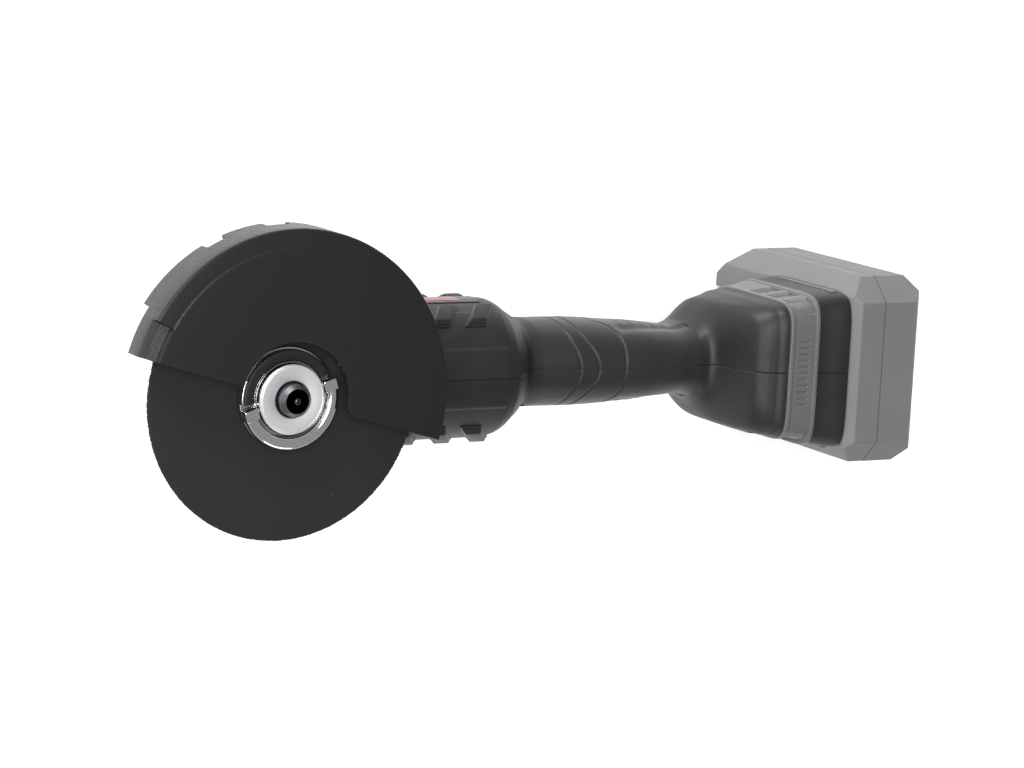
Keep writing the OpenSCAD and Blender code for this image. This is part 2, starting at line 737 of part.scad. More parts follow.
module controller_board() {
    color("#2f5b3c") union() {
        translate([160, -11, 36]) cube([56, 22, 1.6]);
        for (x = [166, 178, 190]) translate([x, -5, 37.6]) cube([8, 10, 4.5]);
        translate([206, 0, 37.6]) cylinder(r = 5, h = 9, $fn = 32);
    }
}

switch_x = 125;              // rear part of the slider's neck at rest starts here

module switch_module() {
    color("#1a1a1b") translate([119, -9, 20.5]) cube([18, 18, 15]);
}

module switch_slider() {
    color("#7a1e22") union() {
        translate([switch_x - 4, -7.5, 7.3]) cube([16, 15, 2.7]);
        for (i = [0:4]) translate([switch_x - 2 + 2.6 * i, -6, 6.6]) cube([1.2, 12, 1]);
        translate([switch_x - 2, -4.4, 9]) cube([12, 8.8, 11]);
    }
}

module spindle_lock_button() {
    color("#232325") union() {
        translate([-lock_r, 0, 0.9]) cylinder(r1 = 6, r2 = 6.2, h = 4, $fn = 48);
        translate([-lock_r, 0, 3]) cylinder(r = lock_pin_r, h = tooth_tip_z - 3.1, $fn = 48);
    }
}

spring_low = 5.2;
spring_high = 11.8;

// Helix of wire round the lock pin
module spindle_lock_spring() {
    turns = 4;
    per_turn = 20;
    sides = 6;
    coil_r = 4.6;
    wire_r = 0.45;
    rise = spring_high - spring_low - 2 * wire_r;
    rings = [for (i = [0:turns * per_turn])
        let (a = 360 * i / per_turn, z = spring_low + wire_r + rise * i / (turns * per_turn))
        [for (j = [0:sides - 1]) let (b = -360 * j / sides, r = coil_r + wire_r * cos(b))
            [r * cos(a), r * sin(a), z + wire_r * sin(b)]]];
    color("#9a9da1") translate([-lock_r, 0, 0]) loft(rings);
}

// ---------------------------------------------------------------- battery

battery_mid = foot_x + battery_t / 2;
battery_top = 96;
battery_low = battery_top - battery_l;
battery_z = (battery_top + battery_low) / 2;

// Outer form of the battery: three chamfered outlines crossed
module battery_form(shrink = 0) {
    w = battery_w - 2 * shrink;
    l = battery_l - 2 * shrink;
    t = battery_t - 2 * shrink;
    intersection() {
        translate([foot_x + shrink, 0, battery_z]) rotate([0, 90, 0])
            linear_extrude(t) polygon([[-l / 2, -w / 2 + 11], [-l / 2 + 11, -w / 2],
                [l / 2 - 18, -w / 2], [l / 2, -w / 2 + 14], [l / 2, w / 2 - 14], [l / 2 - 18, w / 2],
                [-l / 2 + 11, w / 2], [-l / 2, w / 2 - 11]]);
        translate([battery_mid, 0, battery_low + shrink]) linear_extrude(l) polygon([[-t / 2, -w / 2 + 9],
            [-t / 2 + 9, -w / 2], [t / 2 - 6, -w / 2], [t / 2, -w / 2 + 8], [t / 2, w / 2 - 8],
            [t / 2 - 6, w / 2], [-t / 2 + 9, w / 2], [-t / 2, w / 2 - 9]]);
        translate([battery_mid, w / 2, battery_z]) rotate([90, 0, 0]) linear_extrude(w)
            polygon([[-t / 2, -l / 2], [t / 2 - 5, -l / 2], [t / 2, -l / 2 + 6], [t / 2, l / 2 - 6],
                [t / 2 - 5, l / 2], [-t / 2 + 4, l / 2], [-t / 2, l / 2 - 4]]);
    }
}

split_x = foot_x + 17;       // seam between the battery's two shells
case_wall = 2.6;
channel_top = rail_high + 3;
cell_r = 10.2;
cell_pitch = 20.6;
cell_l = 60;
first_cell_z = battery_low + 20.8;
CASE_POSTS = [for (y = [-1, 1], z = [battery_low + 22, battery_top - 14])
    [y * (battery_w / 2 - 6.5), z]];
pocket = [foot_x + 14, foot_x + 30.5];      // X range of the release button's pocket
pocket_floor = battery_low + 7.5;

// The way for the rails and the terminal block, open at the battery's lower end
module battery_channel() {
    from_z = battery_low - 5;
    h = channel_top - from_z;
    translate([foot_x - 1, -rail_y - 2.2, from_z]) cube([12, 2 * rail_y + 4.4, h]);
    translate([foot_x + 5, -rail_y - 4, from_z]) cube([6, 2 * rail_y + 8, h]);
}

module button_pocket(grow, up) {
    translate([pocket[0] - grow, -10.5 - grow, pocket_floor + up - 30])
        cube([pocket[1] - pocket[0] + 2 * grow, 21 + 2 * grow, 30]);
}

// Room inside the battery, from x = from_x on
module battery_room(from_x) {
    difference() {
        intersection() {
            battery_form(case_wall);
            translate([from_x, -60, battery_low]) cube([60, 120, battery_l]);
        }
        button_pocket(2.2, 1.1);
    }
}

module battery_case_front() {
    color("#7b7b7b") difference() {
        intersection() {
            battery_form();
            translate([foot_x + play / 2, -60, battery_low])
                cube([split_x - foot_x - play / 2, 120, battery_l]);
        }
        battery_channel();
        battery_room(foot_x + 13.5);
        button_pocket(0, 0);
    }
}

module battery_case_rear() {
    color("#757575") difference() {
        intersection() {
            battery_form();
            translate([split_x, -60, battery_low]) cube([60, 120, battery_l]);
        }
        difference() {
            battery_room(split_x - 1);
            for (p = CASE_POSTS)
                translate([split_x, p[0], p[1]]) rotate([0, 90, 0]) cylinder(r = 3.4, h = 30, $fn = 32);
        }
        button_pocket(0, 0);
        translate([foot_x + battery_t - 6, 0, battery_z]) rotate([0, 90, 0])
            cylinder(r = 4.2, h = 10, $fn = 48);
        for (p = CASE_POSTS)
            translate([split_x - 1, p[0], p[1]]) rotate([0, 90, 0]) {
                cylinder(r = 1.6, h = 40, $fn = 24);
                translate([0, 0, 16]) cylinder(r = 2.7, h = 30, $fn = 32);
            }
    }
}

module battery_cells() {
    color("#3f6ea5") for (i = [0:4])
        translate([foot_x + battery_t - case_wall - cell_r - 0.3, -cell_l / 2, first_cell_z + cell_pitch * i])
            rotate([-90, 0, 0]) cylinder(r = cell_r, h = cell_l, $fn = 48);
}

// Spring clips either side of each terminal blade
module battery_contacts() {
    color("#c2a25a") for (y = TERMINAL_YS, s = [-1, 1])
        translate([foot_x + 1, y + s * 0.95 - 0.25, channel_top - 15]) cube([4, 0.5, 15]);
}

module battery_screws() {
    color("#8d8f92") for (p = CASE_POSTS)
        translate([split_x + 15, p[0], p[1]]) rotate([0, 90, 0]) screw(12, 1.6, 2.6, 2.2);
}

module battery_release_button() {
    color("#5c5c5c") union() {
        translate([pocket[0] + 0.5, -10, pocket_floor - 5.5]) cube([11.5, 20, 5.2]);
        for (i = [0:2]) translate([pocket[0] + 2 + 3.4 * i, -8, pocket_floor - 6.3]) cube([1.4, 16, 1.3]);
    }
}

module charge_button() {
    color("#a33036") translate([foot_x + battery_t - 1.4, 0, battery_z]) rotate([0, 90, 0])
        cylinder(r = 3.9, h = 1.8, $fn = 48);
}

gear_case();
gear_case_pad();
gear_case_screws();
bearing_cover();
bearing_cover_screws();
spindle_ball_bearing();
spindle_needle_bearing();
pinion_bearing();
motor_rear_bearing();
motor_end_bracket();
stator_core();
stator_windings();
housing_shell_left();
housing_shell_right();
housing_screws();
bumper_studs_left();
bumper_studs_right();
side_label();
grip_overmould_left();
grip_overmould_right();
foot_band();
battery_mount();
terminal_block();
terminal_blades();
controller_board();
switch_module();
spindle_lock_spring();
spindle();
crown_gear();
gear_retaining_ring();
inner_flange();
cutting_disc();
disc_bush();
nut_body();
nut_insert();
nut_face();
nut_bail();
bail_pins();
rotor_shaft();
rotor_core();
rotor_magnets();
cooling_fan();
pinion();
guard_base();
guard_collar();
guard_cover();
guard_lever_pin();
guard_lever();
spindle_lock_button();
switch_slider();
battery_case_front();
battery_case_rear();
battery_cells();
battery_contacts();
battery_screws();
battery_release_button();
charge_button();
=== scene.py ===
"""Cordless angle grinder, lying on its back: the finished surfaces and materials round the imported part.

Lengths are in millimetres until a mesh is made. +Z leaves the tool along the spindle and +X runs to the
battery.
"""

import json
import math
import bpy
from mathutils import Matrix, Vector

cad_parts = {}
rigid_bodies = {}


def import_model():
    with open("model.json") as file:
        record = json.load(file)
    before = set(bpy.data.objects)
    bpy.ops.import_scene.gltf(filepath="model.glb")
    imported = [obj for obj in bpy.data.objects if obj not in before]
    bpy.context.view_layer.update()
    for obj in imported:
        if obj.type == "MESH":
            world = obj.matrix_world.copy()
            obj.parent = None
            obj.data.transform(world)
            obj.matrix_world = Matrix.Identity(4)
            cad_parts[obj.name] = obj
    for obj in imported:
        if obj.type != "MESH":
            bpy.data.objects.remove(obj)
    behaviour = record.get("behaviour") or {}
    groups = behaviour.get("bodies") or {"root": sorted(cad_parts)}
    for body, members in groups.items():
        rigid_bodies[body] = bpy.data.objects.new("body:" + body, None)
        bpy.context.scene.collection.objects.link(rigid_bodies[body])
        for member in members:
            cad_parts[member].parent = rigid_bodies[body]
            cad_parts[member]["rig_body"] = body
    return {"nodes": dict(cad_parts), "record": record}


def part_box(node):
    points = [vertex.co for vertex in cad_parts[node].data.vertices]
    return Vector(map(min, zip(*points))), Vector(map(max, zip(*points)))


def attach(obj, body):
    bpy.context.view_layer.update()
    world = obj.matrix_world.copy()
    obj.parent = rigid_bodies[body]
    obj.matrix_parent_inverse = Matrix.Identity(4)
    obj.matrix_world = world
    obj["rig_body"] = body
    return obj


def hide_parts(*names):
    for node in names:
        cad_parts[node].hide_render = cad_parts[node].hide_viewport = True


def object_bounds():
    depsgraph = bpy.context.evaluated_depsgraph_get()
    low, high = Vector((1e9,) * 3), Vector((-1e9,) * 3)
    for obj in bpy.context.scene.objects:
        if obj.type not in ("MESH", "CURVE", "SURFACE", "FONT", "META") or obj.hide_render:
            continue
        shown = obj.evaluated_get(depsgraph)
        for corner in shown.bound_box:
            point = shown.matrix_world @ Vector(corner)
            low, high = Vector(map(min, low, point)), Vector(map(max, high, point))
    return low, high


bl_info = {
    "name": "Cordless Angle Grinder",
    "version": (1, 0, 0),
    "blender": (4, 5, 0),
    "location": "View3D > Sidebar > Grinder",
    "description": "Builds the shells, guard, disc, quick nut and battery of a cordless angle grinder",
    "category": "Add Mesh",
}

import bmesh
import bpy
import numpy as np
from bpy.props import FloatProperty, FloatVectorProperty, IntProperty, PointerProperty
from bpy.types import Operator, Panel, PropertyGroup
from mathutils import Matrix, Vector

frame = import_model()
CAD_BOX = [list(corner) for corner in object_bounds()]
MM = 0.001


def linear(code):
    """Linear colour of an sRGB hex code such as "#2b2b2d"."""
    parts = [int(code[i : i + 2], 16) / 255 for i in (1, 3, 5)]
    return tuple(c / 12.92 if c <= 0.04045 else ((c + 0.055) / 1.055) ** 2.4 for c in parts)


def box_mm(node):
    """Lowest and highest corner of a node, in millimetres."""
    return [np.array(corner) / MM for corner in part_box(node)]


# ---------------------------------------------------------------- driving sizes, from the frame

DISC_LOW, DISC_HIGH = box_mm("cutting_disc")
DISC_R = DISC_HIGH[0]
DISC_MID = (DISC_LOW[2] + DISC_HIGH[2]) / 2
BUSH_R = box_mm("disc_bush")[1][0]
GUARD_R = box_mm("guard_cover")[1][1]
TAB_Z, FACE_Z = (corner[2] for corner in box_mm("guard_cover"))
PLATE_Z = box_mm("guard_base")[0][2]
SEAT_R = 21.0
MOTOR_Z = float(np.mean([corner[2] for corner in box_mm("stator_core")]))
BARREL_R = 31.5
FLANGE_X = box_mm("housing_shell_left")[0][0]
FOOT_X = box_mm("housing_shell_left")[1][0]
GRIP_X = [corner[0] for corner in box_mm("grip_overmould_left")]
BAND_X = [corner[0] for corner in box_mm("foot_band")]
NUT_TOP = box_mm("nut_face")[1][2]
NUT_R = box_mm("nut_body")[1][1]
TIP_Z = box_mm("spindle")[1][2]

GUARD_ANGLE = -16.0  # direction of the guard's straight edge, in degrees from +X
BAIL_ANGLE = 18.0  # direction of the bail's hinge axis
HINGE_Z = DISC_MID + 6.0

# Half width, low edge, high edge and corner power of the housing along X
HALF_WIDTH = [[42, 31.5], [117, 31.5], [121, 30.9], [124, 29.6], [127, 27.6], [132, 24.8], [137, 22.2],
              [139.5, 20.8], [141, 20.3], [150, 20], [164, 20], [175, 19.6], [190, 18.5], [200, 17.9],
              [206, 17.2], [213, 16.4], [220, 15.6], [226, 17.2], [230, 20.6], [233, 24.2],
              [236.5, 27.4], [242, 29.2], [249, 30.8], [257, 31.5], [267, 34], [272, 35], [285, 36.5]]
LOW_EDGE = [[42, 10.5], [120, 10.5], [141, 11], [164, 11], [190, 12.5], [213, 14], [230, 17], [242, 20],
            [272, 22], [285, 22]]
HIGH_EDGE = [[42, 73.5], [120, 73.5], [124, 73], [127, 71], [132, 66], [137, 58.5], [141, 55],
             [150, 56.2], [164, 58.1], [190, 60.9], [200, 61.7], [213, 62], [226, 60.5], [230, 60.5],
             [233, 62], [236.5, 70], [239, 77], [242, 83], [249, 87], [257, 89.5], [272, 91],
             [285, 93.5]]
CORNER_POWER = [[42, 2], [127, 2], [141, 2.2], [164, 2.3], [213, 2.3], [230, 2.8], [242, 4.4], [249, 6],
                [257, 7.5], [285, 7.5]]
SHELL_WALL = 2.8
RECESS = 1.6  # how deep the grip's soft cover and the foot's band sit in the shells
HOUSING_SCREWS = [[141.5, 42], [156, 24], [206, 30], [248, 32], [248, 74]]


# ---------------------------------------------------------------- settings


def length(name, description, default, low, high):
    """A length property in millimetres."""
    return FloatProperty(
        name=name, description=description + ", in millimetres", default=default, min=low, max=high)


class GrinderSizes(PropertyGroup):
    """Sizes of the surface details"""

    disc_chipping: length("Disc chipping", "How far the disc's worn rim strays inwards", 0.35, 0, 1)
    thread_pitch: length("Thread pitch", "Rise of the spindle's thread in one turn", 2, 1, 2.5)
    groove_depth: length("Groove depth", "Depth of the curved grooves across the grip", 0.55, 0.1, 1)
    stud_rise: length("Stud rise", "Height of the rubber studs on the motor barrel", 3, 1, 3)
    tick_count: IntProperty(
        name="Band ticks", description="Number of short marks pressed into the foot band",
        default=11, min=3, max=15)


def colour(name, description, code):
    """A colour property with a default from its sRGB hex code."""
    return FloatVectorProperty(
        name=name, description=description, subtype="COLOR", size=3, min=0, max=1, default=linear(code))


class GrinderColours(PropertyGroup):
    """Colours of the main finishes"""

    housing: colour("Housing", "Glass-filled nylon of the motor and foot shells", "#1e1e1f")
    grip: colour("Grip", "Soft rubber moulded over the grip", "#1c1c1d")
    guard: colour("Guard", "Powder coat of the guard", "#1b1b1b")
    disc: colour("Disc", "Resin-bonded grit of the cutting disc", "#1f1f1f")
    band: colour("Band", "Metallic plastic of the foot's band", "#5c5c5c")
    battery: colour("Battery", "Moulded case of the battery", "#6c6c6c")
    red: colour("Red parts", "Lever, switch and label stripe", "#741a1e")


def sizes():
    return bpy.context.scene.grinder_sizes


def colours():
    return bpy.context.scene.grinder_colours


# ---------------------------------------------------------------- surfaces


def along(table, x):
    """Smooth value of a table of [x, value]: cubic Hermite pieces whose slope at each entry is the harmonic
    mean of the slopes on both sides, or zero where they turn, so the curve never overshoots."""
    at, value = np.array(table, float).T
    step = np.diff(at)
    slope = np.diff(value) / step
    tangent = np.zeros_like(value)
    left, right = slope[:-1], slope[1:]
    rising = left * right > 0
    tangent[1:-1][rising] = 2 * left[rising] * right[rising] / (left + right)[rising]
    k = np.clip(np.searchsorted(at, x) - 1, 0, len(step) - 1)
    t = np.clip((x - at[k]) / step[k], 0, 1)
    return (
        (1 + 2 * t) * (1 - t) ** 2 * value[k] + t * (1 - t) ** 2 * step[k] * tangent[k]
        + t**2 * (3 - 2 * t) * value[k + 1] + t**2 * (t - 1) * step[k] * tangent[k + 1])


def ease(t):
    """Smooth step from 0 to 1 as t goes from 0 to 1: t^2 (3 - 2t)."""
    t = np.clip(t, 0, 1)
    return t * t * (3 - 2 * t)


def window(v, low, high, soft):
    """1 between low and high, easing to 0 over soft outside them."""
    return ease((v - low + soft) / soft) * ease((high + soft - v) / soft)


def ridge(distance, width):
    """Bell curve exp(-(distance / width)^2)."""
    return np.exp(-((distance / width) ** 2))


def skin(x, angle, inset=0.0):
    """Housing skin on a grid of x and angles from +Y: r = (|cos a / w|^n + |sin a / h|^n)^(-1/n) round the
    section's middle, with w, h and n read from the tables along X and drawn in by inset."""
    x, angle = np.meshgrid(x, angle, indexing="ij")
    inset = np.reshape(inset, (-1, 1)) if np.ndim(inset) else inset
    low, high = along(LOW_EDGE, x), along(HIGH_EDGE, x)
    w, h, n = along(HALF_WIDTH, x) - inset, (high - low) / 2 - inset, along(CORNER_POWER, x)
    r = (np.abs(np.cos(angle) / w) ** n + np.abs(np.sin(angle) / h) ** n) ** (-1 / n)
    return np.stack([x, r * np.cos(angle), (low + high) / 2 + r * np.sin(angle)], axis=-1)


def grid_normals(points):
    """Unit normals of a grid: the cross product of its differences along rows and columns."""
    n = np.cross(np.gradient(points, axis=0), np.gradient(points, axis=1))
    return n / np.maximum(np.linalg.norm(n, axis=-1, keepdims=True), 1e-9)


def raised(points, rise):
    """Grid moved outwards along its normals by rise, one value per point."""
    return points - grid_normals(points) * rise[..., None]


def rounded(outline, radius, steps=5):
    """Closed outline with rounded corners: each corner c becomes (1-t)^2 a + 2t(1-t) c + t^2 b, where a and
    b lie at the radius along its two sides, or at most just short of their middle."""
    c = np.asarray(outline, float)
    radius = np.broadcast_to(radius, len(c))[:, None]
    ends = []
    for turn in (1, -1):
        side = np.roll(c, turn, axis=0) - c
        ends.append(c + side * np.minimum(radius / np.linalg.norm(side, axis=1, keepdims=True), 0.49))
    t = np.linspace(0, 1, steps)[:, None, None]
    curve = (1 - t) ** 2 * ends[0] + 2 * t * (1 - t) * c + t**2 * ends[1]
    return curve.transpose(1, 0, 2).reshape(-1, c.shape[1])


def turned(profile, angles):
    """Profile of [radius, z] carried round the spindle axis: (r cos a, r sin a, z) for each angle."""
    r, z = np.asarray(profile, float).T
    a = np.asarray(angles)[:, None]
    return np.stack([r * np.cos(a), r * np.sin(a), np.broadcast_to(z, (len(a), len(z)))], axis=-1)


def full_circle(steps):
    return np.linspace(0, 2 * np.pi, steps, endpoint=False)


def to_motor_axis(points):
    """Points drawn round +Z, laid along the motor axis: (x, y, z) becomes (z, x, y + motor height)."""
    return np.stack([points[..., 2], points[..., 0], points[..., 1] + MOTOR_Z], axis=-1)


def grid_faces(rows, cols, close_rows, close_cols):
    """Quads between neighbouring points of a grid; a closed direction joins its last line to its first."""
    i, j = np.meshgrid(
        np.arange(rows if close_rows else rows - 1), np.arange(cols if close_cols else cols - 1),
        indexing="ij")
    i, j = i.ravel(), j.ravel()
    i2, j2 = (i + 1) % rows, (j + 1) % cols
    return np.stack([i * cols + j, i2 * cols + j, i2 * cols + j2, i * cols + j2], axis=1).tolist()


def grid_solid(points, close_rows=False, close_cols=True, ends="flat"):
    """Vertices and faces of a grid of points. Open rows end in a flat face, or for a C-shaped ring, whose
    second half runs back inside the first, in a strip between the two."""
    rows, cols = points.shape[:2]
    faces = grid_faces(rows, cols, close_rows, close_cols)
    if not close_rows and ends == "flat":
        faces += [list(range(cols)), [(rows - 1) * cols + j for j in range(cols)]]
    if not close_rows and ends == "strip":
        j = np.arange(cols // 2 - 1)
        strip = np.stack([j, j + 1, cols - 2 - j, cols - 1 - j], axis=1)
        faces += strip.tolist() + (strip + (rows - 1) * cols).tolist()
    return points.reshape(-1, 3), faces


def turned_ring(profile, steps=160):
    """Solid of a closed profile of [radius, z] carried all the way round the spindle axis."""
    return grid_solid(turned(profile, full_circle(steps)), close_rows=True)


def joined(solids):
    """Several (vertices, faces) pairs as one."""
    vertices, faces, start = [], [], 0
    for points, polygons in solids:
        vertices.append(points)
        faces += [[start + k for k in polygon] for polygon in polygons]
        start += len(points)
    return np.concatenate(vertices), faces


def rounded_rectangle(length, width, radius):
    half_l, half_w = length / 2, width / 2
    corners = [[-half_l, -half_w], [half_l, -half_w], [half_l, half_w], [-half_l, half_w]]
    return rounded(corners, radius)


def block(length, width, levels, corner=1.0):
    """Block of stacked rounded rectangles: levels are [z, inset], from its foot to its top."""
    rings = []
    for z, inset in levels:
        ring = rounded_rectangle(length - 2 * inset, width - 2 * inset, max(corner - inset / 2, 0.1))
        rings.append(np.column_stack([ring, np.full(len(ring), z)]))
    return grid_solid(np.array(rings))


def crowned(height, edge):
    """Levels of a block whose top edge is a quarter round of that size."""
    turn = np.radians([0, 30, 60, 90])
    return [[0, 0]] + [[height - edge + edge * math.sin(a), edge - edge * math.cos(a)] for a in turn]


def placed(solid, place):
    """A (vertices, faces) pair moved by a 4x4 matrix in millimetres."""
    m = np.array(place)
    points, faces = solid
    return points @ m[:3, :3].T + m[:3, 3], faces


def mesh_of(name, solid):
    """Mesh of a (vertices, faces) pair, in metres, with doubles merged and faces pointing outwards."""
    points, faces = solid
    mesh = bpy.data.meshes.new(name)
    mesh.from_pydata((np.asarray(points) * MM).tolist(), [], faces)
    bm = bmesh.new()
    bm.from_mesh(mesh)
    bmesh.ops.remove_doubles(bm, verts=bm.verts, dist=2e-6)
    bmesh.ops.recalc_face_normals(bm, faces=bm.faces)
    if bm.calc_volume(signed=True) < 0:
        bmesh.ops.reverse_faces(bm, faces=bm.faces)
    bm.to_mesh(mesh)
    bm.free()
    return mesh


def add_piece(name, mesh, body, slot, look=None, replaces=(), bevel=0.0, sharp=32.0):
    """Object at the origin that rides on a body, in the finish of its slot or in that of another, look. Its
    smooth shading breaks at sharp edges, or those edges are bevelled by that many millimetres."""
    piece = bpy.data.objects.new(name, mesh)
    bpy.context.scene.collection.objects.link(piece)
    mesh.materials.clear()
    mesh.materials.append(finish(look or slot))
    mesh.shade_smooth()
    if bevel:
        rounding = piece.modifiers.new("edge rounding", "BEVEL")
        rounding.width = bevel * MM
        rounding.segments = 3
        rounding.limit_method = "ANGLE"
        rounding.angle_limit = math.radians(sharp)
        rounding.harden_normals = True
    else:
        mesh.set_sharp_from_angle(angle=math.radians(sharp))
    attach(piece, body)
    if replaces:
        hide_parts(*replaces)
    return piece


def add_solid(name, solid, body, slot, **options):
    return add_piece(name, mesh_of(name, solid), body, slot, **options)


def reworked(**bevels):
    """Finished copies of nodes: triangles merged into flat faces, and edges rounded by the given width."""
    for node, bevel in bevels.items():
        source = frame["nodes"][node]
        mesh = source.data.copy()
        bm = bmesh.new()
        bm.from_mesh(mesh)
        bmesh.ops.remove_doubles(bm, verts=bm.verts, dist=2e-6)
        bmesh.ops.dissolve_limit(
            bm, angle_limit=math.radians(0.5), use_dissolve_boundaries=False, verts=bm.verts, edges=bm.edges)
        bm.to_mesh(mesh)
        bm.free()
        if "custom_normal" in mesh.attributes:
            mesh.attributes.remove(mesh.attributes["custom_normal"])
        add_piece(
            f"{node}_finished", mesh, source["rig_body"], slot_of(node), replaces=(node,), bevel=bevel)


def carve(piece, solid):
    """Cuts a (vertices, faces) pair out of a piece and keeps the result as its mesh."""
    cutter = bpy.data.objects.new("cutter", mesh_of("cutter", solid))
    bpy.context.scene.collection.objects.link(cutter)
    cut = piece.modifiers.new("cut", "BOOLEAN")
    cut.operation = "DIFFERENCE"
    cut.solver = "EXACT"
    cut.object = cutter
    bpy.context.view_layer.update()
    result = bpy.data.meshes.new_from_object(piece.evaluated_get(bpy.context.evaluated_depsgraph_get()))
    piece.modifiers.remove(cut)
    piece.data = result
    result.set_sharp_from_angle(angle=math.radians(32))
    bpy.data.objects.remove(cutter)


def slot_of(node):
    """The material slot that the record gives a node."""
    parts = {part["node"]: part["material_slot"] for part in frame["record"]["subparts"]}
    return parts[node]


# ---------------------------------------------------------------- materials


def add_node(tree, kind, settings=None, links=None):
    """Adds a shader node. settings are its properties and socket values by name or number, links its input
    sockets by name or number with the output that feeds each."""
    node = tree.nodes.new("ShaderNode" + kind)
    for key, value in (settings or {}).items():
        if isinstance(key, int) or key in node.inputs:
            node.inputs[key].default_value = value
        else:
            setattr(node, key, value)
    for key, source in (links or {}).items():
        tree.links.new(source, node.inputs[key])
    return node


def new_material(name, **shader_values):
    """A material with one Principled shader; returns it with its tree, its shader and object coordinates."""
    material = bpy.data.materials.get(name)
    if material:
        bpy.data.materials.remove(material)
    material = bpy.data.materials.new(name)
    material.use_nodes = True
    tree = material.node_tree
    tree.nodes.clear()
    values = {key.replace("_", " "): value for key, value in shader_values.items()}
    shader = add_node(tree, "BsdfPrincipled", values)
    add_node(tree, "OutputMaterial", links={"Surface": shader.outputs["BSDF"]})
    where = add_node(tree, "TexCoord").outputs["Object"]
    return material, tree, shader, where


def grain(tree, where, size_mm, detail=3.0, roughness=0.55):
    """Noise whose lumps are about size_mm across."""
    return add_node(
        tree, "TexNoise", {"Scale": 1 / (size_mm * MM), "Detail": detail, "Roughness": roughness},
        {"Vector": where}).outputs["Fac"]


def spread(tree, source, low, high):
    """A 0 to 1 value stretched to run from low to high, taking its middle third as the whole."""
    return add_node(
        tree, "MapRange", {"From Min": 0.35, "From Max": 0.65, "To Min": low, "To Max": high},
        {"Value": source}).outputs["Result"]


def tinted(tree, source, tone, light, dark=None):
    """Colour that runs from tone times dark to tone times light as source goes from 0 to 1."""
    dark = 2 - light if dark is None else dark
    mix = add_node(tree, "Mix", {"data_type": "RGBA"}, {0: source})
    mix.inputs[6].default_value = (*[min(1, c * dark) for c in tone], 1)
    mix.inputs[7].default_value = (*[min(1, c * light) for c in tone], 1)
    return mix.outputs[2]


def bumped(tree, shader, height, depth_mm):
    """Bump of a real depth on a shader."""
    bump = add_node(tree, "Bump", {"Strength": 1.0, "Distance": depth_mm * MM}, {"Height": height})
    tree.links.new(bump.outputs["Normal"], shader.inputs["Normal"])


def moulded(name, tone, roughness, grain_mm, depth_mm, sheen=0.0, mottle=1.06):
    """Moulded plastic or rubber. The mould's eroded surface leaves fine lumps, which scatter highlights into
    a soft sheen, and handling leaves broad patches of slightly different gloss."""
    material, tree, shader, where = new_material(
        name, Roughness=roughness, IOR=1.5, Sheen_Weight=sheen, Specular_IOR_Level=0.35)
    fine = grain(tree, where, grain_mm)
    broad = grain(tree, where, 22, 2)
    tree.links.new(tinted(tree, spread(tree, broad, 0, 1), tone, mottle), shader.inputs["Base Color"])
    rough = spread(tree, broad, roughness - 0.05, roughness + 0.05)
    tree.links.new(rough, shader.inputs["Roughness"])
    bumped(tree, shader, fine, depth_mm)
    return material


def powder_coat(name, tone, roughness):
    """Textured black powder coat on steel: cured droplets leave a fine orange peel, and flakes in the coat
    sparkle where light rakes across it."""
    material, tree, shader, where = new_material(
        name, Roughness=roughness, IOR=1.52, Specular_IOR_Level=0.28)
    peel = add_node(
        tree, "TexVoronoi", {"feature": "SMOOTH_F1", "Scale": 1 / (0.9 * MM), "Smoothness": 0.6},
        {"Vector": where}).outputs["Distance"]
    flake = grain(tree, where, 0.35, 1)
    tree.links.new(tinted(tree, spread(tree, flake, 0, 1), tone, 1.25, 0.85), shader.inputs["Base Color"])
    tree.links.new(spread(tree, flake, roughness + 0.1, roughness - 0.12), shader.inputs["Roughness"])
    bumped(tree, shader, peel, 0.06)
    return material


def cast_coat(name, tone, roughness):
    """Satin paint on die-cast magnesium: the paint softens the casting's grain to shallow lumps."""
    material, tree, shader, where = new_material(name, Roughness=roughness, IOR=1.5)
    cast = grain(tree, where, 1.6, 4)
    tree.links.new(tinted(tree, spread(tree, cast, 0, 1), tone, 1.08), shader.inputs["Base Color"])
    tree.links.new(spread(tree, cast, roughness - 0.06, roughness + 0.06), shader.inputs["Roughness"])
    bumped(tree, shader, cast, 0.09)
    return material


def plated(name, tone, roughness):
    """Plated steel: a mirror whose polished surface is very slightly uneven, with faint dull patches."""
    material, tree, shader, where = new_material(name, Metallic=1.0, Roughness=roughness)
    uneven = grain(tree, where, 9.0, 2)
    dull = grain(tree, where, 1.2, 3)
    tree.links.new(tinted(tree, spread(tree, dull, 0, 1), tone, 1.03), shader.inputs["Base Color"])
    tree.links.new(spread(tree, dull, roughness * 0.8, roughness * 1.4), shader.inputs["Roughness"])
    bumped(tree, shader, uneven, 0.03)
    return material


def lathe_turned(name, tone, roughness):
    """Face-turned steel: the tool leaves fine rings round the spindle axis, which stretch highlights across
    them. The rings are drawn a little coarser than real ones so that they show."""
    material, tree, shader, where = new_material(name, Metallic=1.0, Roughness=roughness)
    flat = add_node(tree, "VectorMath", {"operation": "MULTIPLY", 1: (1, 1, 0)}, {0: where}).outputs[0]
    radius = add_node(tree, "VectorMath", {"operation": "LENGTH"}, {0: flat}).outputs["Value"]
    along_r = add_node(tree, "CombineXYZ", links={"X": radius}).outputs[0]
    rings = grain(tree, along_r, 0.35, 4, 0.7)
    tree.links.new(tinted(tree, spread(tree, rings, 0, 1), tone, 1.05), shader.inputs["Base Color"])
    tree.links.new(spread(tree, rings, roughness - 0.06, roughness + 0.08), shader.inputs["Roughness"])
    bumped(tree, shader, rings, 0.012)
    return material


